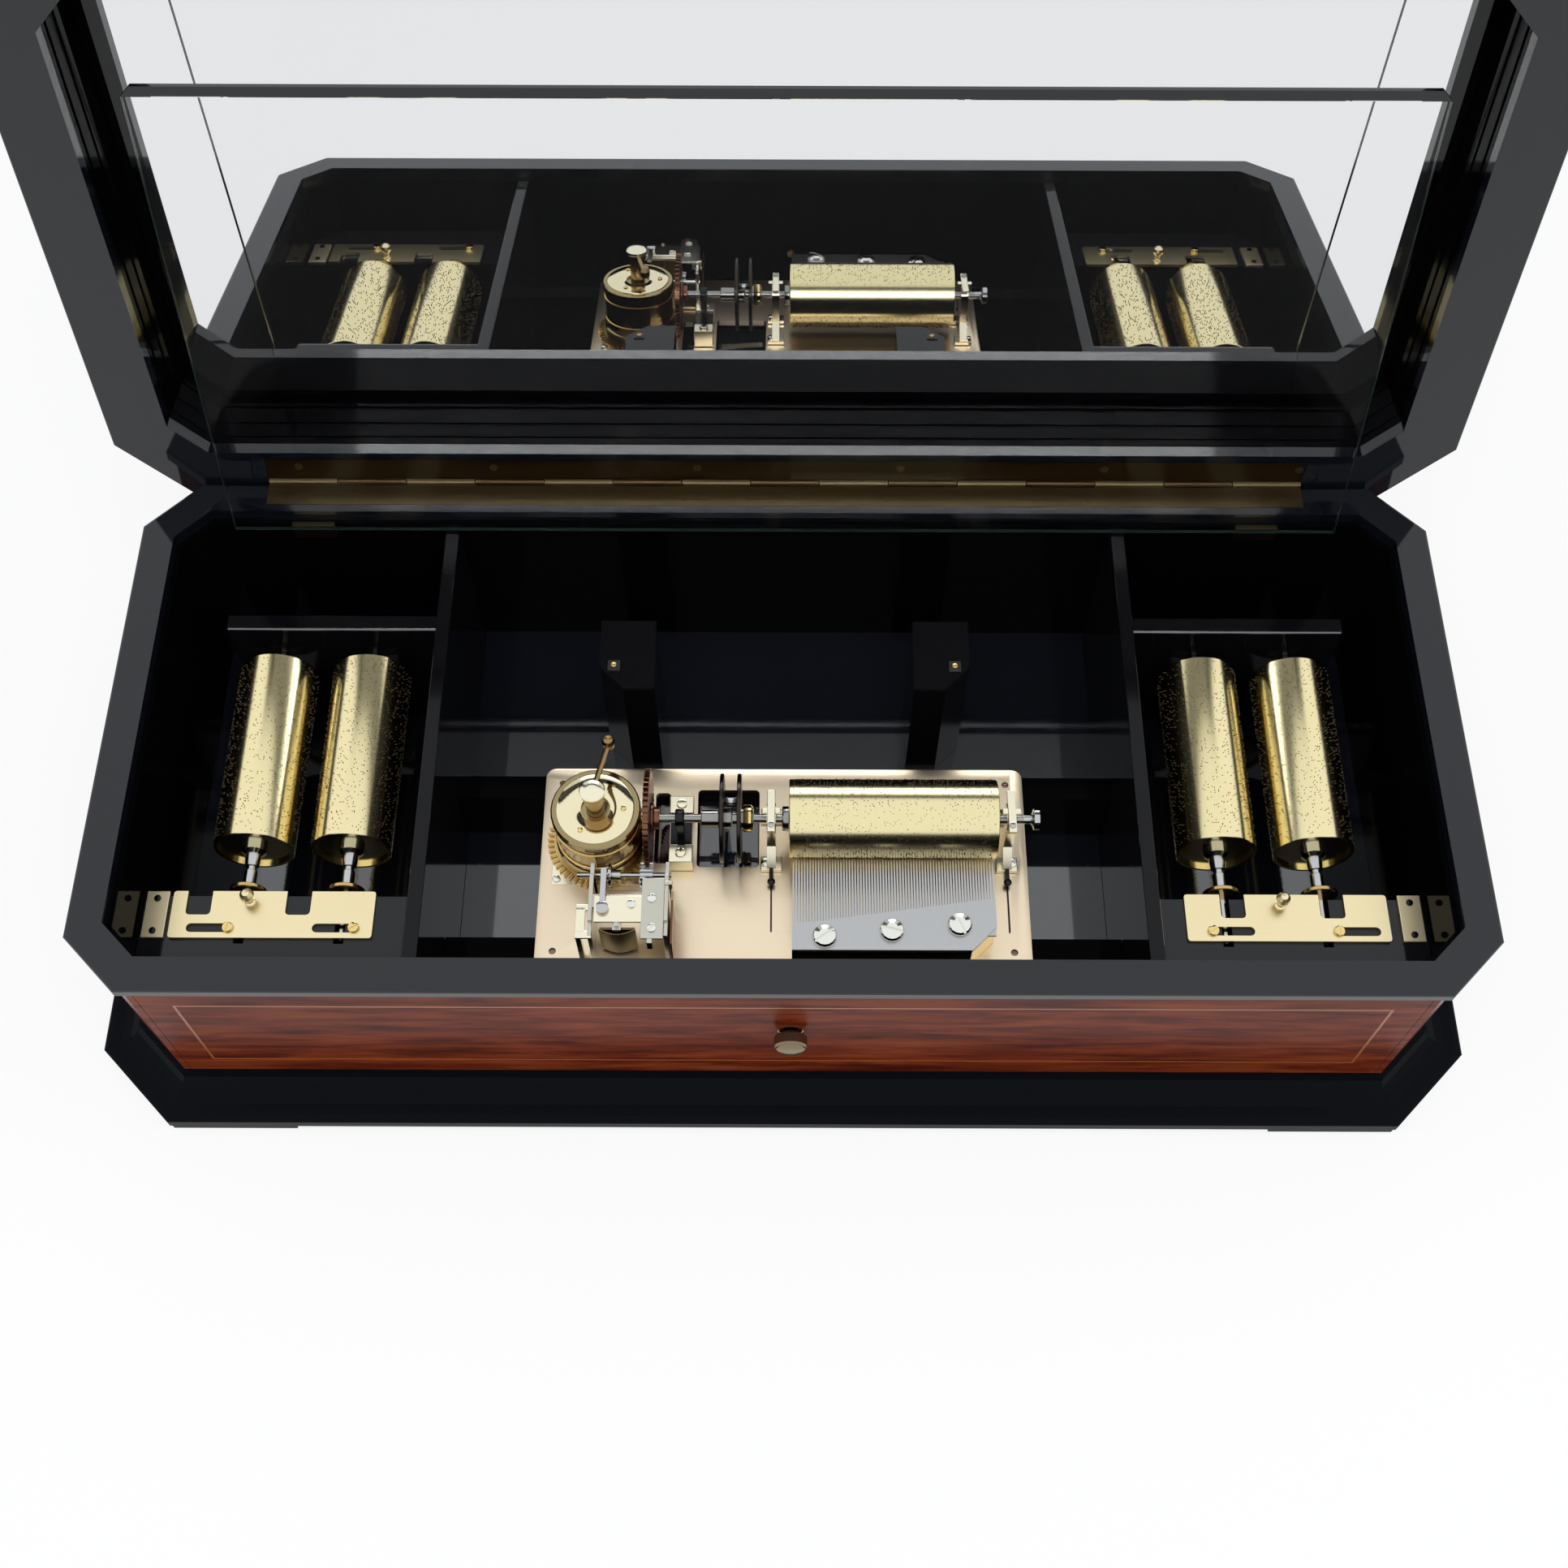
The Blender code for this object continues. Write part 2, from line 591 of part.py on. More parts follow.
def make_latch(label, side, notches, reaches):
    """Sliding plate that locks two axles, with slots for its screws, and its ball knob."""
    back = LATCH_BACK
    front = LATCH_FRONT
    low = RACK_TOP + FIT
    inward, outward, knob = reaches
    ends = sorted((side * (SPARE_X[0] - inward), side * (SPARE_X[0] + outward)))
    knob_x = side * (SPARE_X[0] + knob)
    plate = prism(f"latch_plate_{label}", rounded_outline((ends[0], front), (ends[1], back), 1.5, 2), low,
                  low + LATCH_THICKNESS, "brass")
    for number, x in enumerate(notches):
        half = NOTCH_WIDTH / 2
        notch = rounded_outline((x - half, back - NOTCH_DEPTH), (x + half, back + 5.0), 2.0, 2)
        cut(plate, prism(f"notch_{label}_{number}", notch, low - 1, low + 4, None))
    for number, offset in enumerate(LATCH_SCREW_OFFSETS):
        inner = side * (SPARE_X[0] + offset)
        start, end = sorted((inner, inner + side * LATCH_TRAVEL))
        slot = rounded_outline((start - 2.6, LATCH_SLOT[0]), (end + 2.6, LATCH_SLOT[1]), 2.5)
        cut(plate, prism(f"latch_slot_{label}_{number}", slot, low - 1, low + 4, None))
    base = low + LATCH_THICKNESS - 0.5
    ball = arc((0, 8.0), 4.0, -60, 90, 5)
    profile = [(0, base), (3.0, base), (3.0, base + 1.0), (2.0, base + 1.5)]
    profile += [(radius, base + along) for radius, along in ball[:-1]] + [(0, base + 12.0)]
    fuse(plate, lathe(f"latch_knob_{label}", profile, (knob_x, LATCH_KNOB_Y, 0), None, "z", 12))
    set_pivot(plate, (knob_x, LATCH_KNOB_Y, low))


def make_bed(floor_top):
    """Two bearers across the middle bay and the brass bed plate on them."""
    reach = PARTITION_X - PARTITION_THICKNESS / 2 - FIT
    low = BED_TOP - BED_THICKNESS
    front = BED_FRONT + BED_RAIL_INSETS[0]
    back = BED_BACK - BED_RAIL_INSETS[1]
    rails = {"front": (front, front + BED_RAIL_WIDTHS[0]), "rear": (back - BED_RAIL_WIDTHS[1], back)}
    for label, (near, far) in rails.items():
        box(f"bed_rail_{label}", (-reach, near, floor_top), (reach, far, low - FIT), "lacquer")
    outline = rounded_outline((-BED_HALF_X, BED_FRONT), (BED_HALF_X, BED_BACK), 6.0)
    bed = prism("bed_plate", outline, low, BED_TOP, "pale_brass")
    openings = {"coupling": ((-48.0, -62.0), (-11.0, -13.0)), "bearing": ((-71.0, -45.0), (-51.0, -27.0))}
    for name, (near, far) in openings.items():
        cut(bed, prism(f"bed_{name}_opening", rounded_outline(near, far, 3.0), low - 1, BED_TOP + 1, None))
    for x in (BED_HOLE_INSET - BED_HALF_X, BED_HALF_X - BED_HOLE_INSET):
        for y in (BED_FRONT + BED_HOLE_INSET, BED_BACK - BED_HOLE_INSET):
            hole = [(0, low - 1), (2, low - 1), (2, BED_TOP + 1), (0, BED_TOP + 1)]
            cut(bed, lathe(f"bed_hole_{x:.0f}_{y:.0f}", hole, (x, y, 0), None, "z", 12))


def make_uprights(floor_top):
    """Two posts behind the bed, cut off at the outer front corner."""
    for side, label in ((-1, "left"), (1, "right")):
        slope = (UPRIGHT_OUTER - UPRIGHT_CHAMFER, UPRIGHT_FRONT)
        outline = [(UPRIGHT_INNER, UPRIGHT_FRONT), slope, (UPRIGHT_OUTER, UPRIGHT_FRONT + UPRIGHT_CHAMFER)]
        outline += [(UPRIGHT_OUTER, UPRIGHT_BACK), (UPRIGHT_INNER, UPRIGHT_BACK)]
        outline = [(side * x, y) for x, y in outline]
        prism(f"upright_{label}", outline, floor_top, UPRIGHT_TOP, "lacquer")


def make_comb():
    """Brass base, steel comb with one tooth for each place on the cylinder, and three screws."""
    seat = BED_TOP + FIT
    base_top = COMB_BOTTOM - FIT
    base_outline = [(COMB_LEFT, COMB_FRONT), (COMB_RIGHT - 14, COMB_FRONT), (COMB_RIGHT, COMB_FRONT + 14)]
    base_outline += [(COMB_RIGHT, COMB_ROOT_RIGHT - 3), (COMB_LEFT, COMB_ROOT_LEFT + 2)]
    base = prism("comb_base", base_outline, seat, base_top, "brass")
    pitch = (COMB_RIGHT - COMB_LEFT) / COMB_TEETH
    slope = (COMB_ROOT_RIGHT - COMB_ROOT_LEFT) / (COMB_RIGHT - COMB_LEFT)
    outline = []
    back = COMB_ROOT_LEFT - 6.0
    for i in range(COMB_TEETH):
        left = COMB_LEFT + i * pitch + TOOTH_SLOT / 2
        right = left + pitch - TOOTH_SLOT
        root_left = COMB_ROOT_LEFT + slope * (left - COMB_LEFT)
        root_right = COMB_ROOT_LEFT + slope * (right - COMB_LEFT)
        outline += [(left, root_left), (left + 0.2, COMB_TIP)]
        outline += [(right - 0.2, COMB_TIP), (right, root_right)]
    outline += [(COMB_RIGHT - 0.5, back), (COMB_LEFT + 0.5, back)]
    teeth = prism("comb_teeth", outline, COMB_BOTTOM + 0.8, COMB_BOTTOM + 2.2, None)
    body = [(COMB_LEFT, COMB_FRONT), (COMB_RIGHT - 14, COMB_FRONT), (COMB_RIGHT, COMB_FRONT + 14)]
    body += [(COMB_RIGHT, COMB_ROOT_RIGHT), (COMB_LEFT, COMB_ROOT_LEFT)]
    comb = prism("comb", body, COMB_BOTTOM, COMB_BOTTOM + COMB_THICKNESS, "steel")
    fuse(comb, teeth)
    for number, (x, y) in enumerate(COMB_SCREWS):
        top = COMB_BOTTOM + COMB_THICKNESS + FIT
        depth = 8.0
        low = base_top - depth - FIT
        hole = [(0, low), (3 + FIT, low), (3 + FIT, top + 1), (0, top + 1)]
        cut(base, lathe(f"base_screw_hole_{number}", hole, (x, y, 0), None, "z", 16))
        cut(comb, lathe(f"comb_screw_hole_{number}", hole, (x, y, 0), None, "z", 16))
        radius = COMB_SCREW_RADIUS
        profile = [(0, base_top - depth), (3, base_top - depth), (3, top), (radius, top), (radius, top + 2)]
        profile += [(radius - 0.8, top + 3.2), (radius * 0.5, top + 3.9), (0, top + 4.1)]
        screw = lathe(f"comb_screw_{number + 1}", profile, (x, y, 0), "nickel", "z", 16)
        corner = (radius + 1, 0.7, top + 6)
        groove = box(f"screw_groove_{number}", (-radius - 1, -0.7, top + 2.4), corner, None)
        groove.data.transform(Matrix.Rotation(radians(35 - 50 * number), 4, "Z"))
        groove.data.transform(Matrix.Translation(Vector((x, y, 0)) * MM))
        cut(screw, groove)


def pinion_centre():
    distance = (DRIVE_TEETH + PINION_TEETH) * TOOTH_PITCH / (2 * pi)
    turn = radians(PINION_BELOW)
    return AXIS_Y - distance * cos(turn), AXIS_Z - distance * sin(turn)


def pitch_radius(teeth):
    return teeth * TOOTH_PITCH / (2 * pi)


def wheel_phase():
    """A tooth of the drive wheel points at the pinion's centre."""
    y, z = pinion_centre()
    return atan2(z - AXIS_Z, y - AXIS_Y)


def make_cylinder_line():
    """Drive wheel, shafts with the two coupling discs, and the cylinder on its arbor."""
    axle = SHAFT_RADIUS
    root = pitch_radius(DRIVE_TEETH) - 1.1
    tip = pitch_radius(DRIVE_TEETH) + 1.3
    half = DRIVE_WHEEL_THICKNESS / 2
    outline = moved(gear_outline(DRIVE_TEETH, root, tip, wheel_phase()), (AXIS_Y, AXIS_Z))
    wheel = prism("drive_wheel", outline, DRIVE_WHEEL_X - half, DRIVE_WHEEL_X + half, "bronze", "x")
    bore = [(0, -80), (axle + 0.1, -80), (axle + 0.1, -70), (0, -70)]
    cut(wheel, lathe("wheel_bore", bore, (0, AXIS_Y, AXIS_Z), None, "x", 24))
    face = DRIVE_WHEEL_X - half - FIT
    profile = [(0, face - 1.2), (4.5, face - 1.2), (4.5, face), (axle, face)]
    profile += [(axle, -73.0), (6, -73.0), (6, -69), (axle, -69), (axle, -45), (5, -45), (5, -36)]
    profile += [(28, -35.4), (28, -34), (6, -33), (6, -29), (0, -29)]
    shaft = lathe("drive_shaft", profile, (0, AXIS_Y, AXIS_Z), "steel", "x", 24)
    start = CYLINDER_START
    end = start + CYLINDER_LENGTH
    profile = [(0, -28.5), (4, -28.5), (4, -26), (28, -25.2), (28, -23.8), (6.5, -23)]
    profile += [(6.5, -17)]
    profile += [(axle, -17), (axle, start - 4), (7, start - 4), (7, start - FIT), (axle, start - FIT)]
    profile += [(axle, ARBOR_END), (0, ARBOR_END)]
    arbor = lathe("cylinder_arbor", profile, (0, AXIS_Y, AXIS_Z), "steel", "x", 24)
    radius = CYLINDER_RADIUS
    bore = axle + 0.1
    profile = [(bore, start + 2), (radius - 2, start + 2), (radius - 2, start), (radius, start)]
    profile += [(radius, end), (radius - 2, end), (radius - 2, end - 2), (bore, end - 2)]
    cylinder = lathe("music_cylinder", profile, (0, AXIS_Y, AXIS_Z), "brass", "x", 32)
    for solid in (wheel, shaft, arbor, cylinder):
        set_pivot(solid, (0, AXIS_Y, AXIS_Z))


def bearing_bracket(name, x, thickness, half_y):
    """Upright bearing with a round head over the arbor."""
    seat = BED_TOP + FIT
    outline = [(AXIS_Y - half_y, seat), (AXIS_Y + half_y, seat), (AXIS_Y + half_y, seat + 4)]
    outline += [(AXIS_Y + 9, seat + 12)] + arc((AXIS_Y, AXIS_Z), 9, 0, 180, 8)
    outline += [(AXIS_Y - 9, seat + 12), (AXIS_Y - half_y, seat + 4)]
    bracket = prism(name, outline, x - thickness / 2, x + thickness / 2, "brass", "x")
    hole = SHAFT_RADIUS + RUNNING_FIT
    bore = [(0, x - thickness), (hole, x - thickness), (hole, x + thickness), (0, x + thickness)]
    cut(bracket, lathe(f"{name}_bore", bore, (0, AXIS_Y, AXIS_Z), None, "x", 24))
    return bracket


def make_bearings():
    bearing_bracket("bearing_left", BEARING_X[0], 5.0, 19.0)
    bearing_bracket("bearing_right", BEARING_X[1], 5.0, 19.0)
    bearing_bracket("shaft_bearing", SHAFT_BEARING_X, 12.0, 19.0)
    end = ARBOR_END + FIT
    stem = SHAFT_RADIUS
    head = ARBOR_END + 13.5
    profile = [(0, end), (stem, end), (stem, head), (3, head + 1), (6, head + 2), (6, head + 5)]
    profile += [(4, head + 6.5), (0, head + 7)]
    knob = lathe("release_knob", profile, (0, AXIS_Y, AXIS_Z), "steel", "x", 24)
    set_pivot(knob, (0, AXIS_Y, AXIS_Z))


def make_barrel():
    """Spring barrel with its toothed wheel, and the winding post with its crank."""
    centre = (BARREL_X, AXIS_Y, 0)
    low = BED_TOP + 0.8
    phase = wheel_phase()
    pitch_angle = 2 * pi / DRIVE_TEETH
    nearest = round((-pi / 2 - phase) / pitch_angle)
    tooth = phase + nearest * pitch_angle
    gap = atan2(pitch_radius(DRIVE_TEETH) * cos(tooth), DRIVE_WHEEL_X - BARREL_X)
    outline = gear_outline(BARREL_TEETH, 26.6, 30.4, gap + pi / BARREL_TEETH)
    wheel = prism("barrel_wheel", moved(outline, centre[:2]), low, low + 2.0, "brass")
    hole = POST_RADIUS + RUNNING_FIT
    bore = [(0, low - 1), (hole, low - 1), (hole, low + 3), (0, low + 3)]
    cut(wheel, lathe("barrel_wheel_bore", bore, centre, None, "z", 24))
    base = low + 2.0 + FIT
    radius = BARREL_RADIUS
    profile = [(hole, base), (radius, base), (radius, base + 4), (radius - 1.2, base + 4.6)]
    profile += [(radius - 1.2, BARREL_TOP - 5), (radius, BARREL_TOP - 4.4), (radius, BARREL_TOP - 0.8)]
    profile += [(radius - 0.8, BARREL_TOP), (8, BARREL_TOP), (8, BARREL_TOP - 1), (hole, BARREL_TOP - 1)]
    drum = lathe("spring_barrel", profile, centre, "brass", "z", 32)
    neck = POST_TOP - 7
    profile = [(0, BED_TOP + FIT), (POST_RADIUS, BED_TOP + FIT), (POST_RADIUS, neck), (6.5, neck)]
    profile += [(6.5, POST_TOP - 1.5), (5, POST_TOP), (0, POST_TOP)]
    post = lathe("winding_crank", profile, centre, "brass", "z", 24)
    rod_z = CRANK_Z
    rod = [(0, 0), (1.6, 0), (1.6, 33), (0, 33)]
    rod = lathe("crank_rod", rod, (0, 0, 0), None, "y", 12)
    rod.data.transform(Matrix.Rotation(radians(-14), 4, "Z"))
    rod.data.transform(Matrix.Translation(Vector((BARREL_X, AXIS_Y, rod_z)) * MM))
    grip = [(0, rod_z - 2.2), (3.2, rod_z - 2.2), (3.6, rod_z + 2), (2.6, rod_z + 4.5), (0, rod_z + 5)]
    reach = 31.0
    place = (BARREL_X + reach * sin(radians(14)), AXIS_Y + reach * cos(radians(14)), 0)
    fuse(post, rod, lathe("crank_grip", grip, place, None, "z", 16))
    for solid in (wheel, drum, post):
        set_pivot(solid, centre)


def make_governor():
    """Cage with its arbor, whose pinion meets the drive wheel, and the fly that brakes it."""
    seat = BED_TOP + FIT
    y, z = pinion_centre()
    plate = box("governor_frame", (-114.0, -112.0, seat), (-62.0, -68.0, seat + 2.0), "nickel")
    top = 112.0
    cheeks = []
    for label, left in (("left", -113.5), ("right", -65.0)):
        outline = [(-110, seat + 1), (-70, seat + 1), (-70, seat + 6), (-63, seat + 13), (-63, z + 6)]
        outline += [(-66, top), (-92, top), (-110, top - 8)]
        cheeks.append(prism(f"cheek_{label}", outline, left, left + 2.5, None, "x"))
    bridge = box("governor_bridge", (-113.0, -92.0, top - 2.5), (-63.0, -82.0, top - 0.5), None)
    arm = box("governor_arm", (-94.0, -108.0, top - 2.5), (-86.0, -90.0, top - 0.5), None)
    fuse(plate, *cheeks, bridge, arm)
    hole = 1.5 + RUNNING_FIT
    bore = [(0, -115), (hole, -115), (hole, -60), (0, -60)]
    cut(plate, lathe("governor_bores", bore, (0, y, z), None, "x", 16))
    pin = 1.0 + RUNNING_FIT
    fly_x, fly_y = -90.0, -103.0
    bore = [(0, top - 4), (pin, top - 4), (pin, top + 1), (0, top + 1)]
    cut(plate, lathe("fly_bore", bore, (fly_x, fly_y, 0), None, "z", 16))
    root = pitch_radius(PINION_TEETH) - 1.5
    tip = pitch_radius(PINION_TEETH) + 0.9
    phase = wheel_phase() + pi + pi / PINION_TEETH
    pinion = moved(gear_outline(PINION_TEETH, root, tip, phase), (y, z))
    pinion = prism("pinion_teeth", pinion, DRIVE_WHEEL_X - 3.5, DRIVE_WHEEL_X + 3.5, None, "x")
    profile = [(0, -114), (1.5, -114), (1.5, -100), (3, -100), (3, -97), (6.5, -96.5), (6.5, -95), (3, -94.5)]
    profile += [(3, -90), (1.5, -90), (1.5, -62), (0, -62)]
    arbor = lathe("governor_arbor", profile, (0, y, z), "steel", "x", 20)
    fuse(arbor, pinion)
    set_pivot(arbor, (0, y, z))
    low = seat + 2.0 + FIT
    profile = [(0, low), (1.0, low), (1.0, low + 3), (2.2, low + 3), (2.2, top - 4), (1.0, top - 4)]
    profile += [(1.0, top + 0.5), (0, top + 0.5)]
    fly = lathe("governor_fly", profile, (fly_x, fly_y, 0), "brass", "z", 12)
    vane = box("fly_vane", (fly_x - 9.5, fly_y - 0.6, low + 2), (fly_x + 9.5, fly_y + 0.6, top - 4), None)
    fuse(fly, vane)
    set_pivot(fly, (fly_x, fly_y, low))


def centre_on_base():
    """Moves everything so that the origin is under the middle of the whole box at rest."""
    bpy.context.view_layer.update()
    along = []
    for solid in bpy.data.objects:
        along += [(solid.matrix_world @ Vector(corner)).y for corner in solid.bound_box]
    shift = Vector((0.0, -(min(along) + max(along)) / 2, -FOOT_LOW * MM))
    for solid in bpy.data.objects:
        solid.location += shift
    print(f"moved by {shift.y * 1000:.4f} mm along Y and {shift.z * 1000:.4f} mm up")


def main():
    clear_scene()
    walls, lining, floor_top = make_case()
    make_start_knob(walls, lining)
    pivot = (0.0, RIM_HALF_Y + HINGE_RADIUS + 0.2, RIM_TOP + 0.15)
    set_pivot(hinge_leaf("hinge_leaf_case", pivot, 0, RIM_TOP), pivot)
    make_lid()
    make_glass_lid()
    make_spares(floor_top)
    make_bed(floor_top)
    make_uprights(floor_top)
    make_comb()
    make_cylinder_line()
    make_bearings()
    make_barrel()
    make_governor()
    centre_on_base()


main()
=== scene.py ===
"""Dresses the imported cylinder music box: finishes, pins, inlay, screws and mirror, with studio and camera."""

import logging
import math
import random
from dataclasses import dataclass, replace
from enum import Enum
from typing import Sequence

import bpy
from mathutils import Matrix, Vector


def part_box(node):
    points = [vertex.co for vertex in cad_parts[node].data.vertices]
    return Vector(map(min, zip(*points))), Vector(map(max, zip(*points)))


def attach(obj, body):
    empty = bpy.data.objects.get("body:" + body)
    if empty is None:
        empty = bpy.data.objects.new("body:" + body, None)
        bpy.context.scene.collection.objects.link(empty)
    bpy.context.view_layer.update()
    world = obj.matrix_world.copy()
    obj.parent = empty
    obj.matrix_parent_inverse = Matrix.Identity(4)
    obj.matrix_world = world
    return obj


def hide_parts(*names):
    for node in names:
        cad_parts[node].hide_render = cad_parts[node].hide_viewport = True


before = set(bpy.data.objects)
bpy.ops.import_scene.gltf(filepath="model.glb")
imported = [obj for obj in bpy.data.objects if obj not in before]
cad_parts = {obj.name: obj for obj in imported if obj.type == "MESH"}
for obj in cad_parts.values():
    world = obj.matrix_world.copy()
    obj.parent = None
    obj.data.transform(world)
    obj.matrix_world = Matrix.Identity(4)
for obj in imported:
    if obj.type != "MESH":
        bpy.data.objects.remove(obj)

logging.basicConfig(level=logging.INFO, format="%(message)s")
log = logging.getLogger("music_box")

MM = 0.001
IMAGE_SIZE = 1932
SENSOR_MM = 36.0
SMOOTH_ANGLE = math.radians(40)
RIM_TOP = 154.0
SHAFT_Y = -36.0
SHAFT_Z = 108.0
SIDES = ((-1, "left"), (1, "right"))
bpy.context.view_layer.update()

Point = tuple[float, float, float]
Colour = tuple[float, float, float]
Profile = Sequence[tuple[float, float]]

RIM_LOW, RIM_HIGH = (Vector(corner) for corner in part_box("rim"))
CASE_ORIGIN = Vector((0.0, (RIM_LOW.y + RIM_HIGH.y) / 2, RIM_HIGH.z - RIM_TOP * MM))


class Axis(Enum):
    """The way a turned piece points, as the axis and the degrees that turn it there from upright."""

    X = ("Y", 90)
    Y = ("X", -90)
    Z = ("Z", 0)
    FRONT = ("X", 90)

    def turn(self) -> Matrix:
        """The turn from upright."""
        letter, degrees = self.value
        return Matrix.Rotation(math.radians(degrees), 4, letter)


class Carrier(Enum):
    """The moving bodies that new pieces ride on."""

    CASE = "case"
    LID = "lid"
    GLASS = "glass_lid"
    BARREL = "barrel"
    LINE = "cylinder_line"
    FLY = "fly"
    START = "start"


def spot(x: float, y: float, z: float) -> Vector:
    """Turns millimetres from the case's middle, at table height, into the frame's metres."""
    return CASE_ORIGIN + Vector((x, y, z)) * MM


def span(side: int, near: float, far: float) -> list[float]:
    """Left and right end of a stretch that lies on one side of the middle."""
    return sorted((side * near, side * far))


class Wiring:
    """Adds and links the nodes of one shader tree."""

    def __init__(self, tree: bpy.types.NodeTree) -> None:
        """Keeps the tree."""
        self.tree = tree

    def add(self, kind: str, values: dict[str | int, float | tuple] | None = None,
            **settings: object) -> bpy.types.Node:
        """Adds a node.

        Args:
            kind: Its type, without the words that every shader node's type starts with.
            values: What its unlinked inputs hold.
            settings: The node's own properties.

        Returns:
            The new node.
        """
        node = self.tree.nodes.new("ShaderNode" + kind)
        for name, value in settings.items():
            setattr(node, name, value)
        for socket, value in (values or {}).items():
            node.inputs[socket].default_value = value
        return node

    def link(self, *links: tuple[bpy.types.Node, str | int, bpy.types.Node, str | int]) -> None:
        """Links each output, given by its node and name, to the input that follows it."""
        for source, leaving, target, entering in links:
            self.tree.links.new(source.outputs[leaving], target.inputs[entering])

    def mapped(self, scale: Point) -> bpy.types.Node:
        """Adds object coordinates that are stretched.

        Args:
            scale: How much, along x, y and z.

        Returns:
            The node whose Vector output carries them.
        """
        place = self.add("TexCoord")
        mapping = self.add("Mapping", {"Scale": scale})
        self.link((place, "Object", mapping, "Vector"))
        return mapping


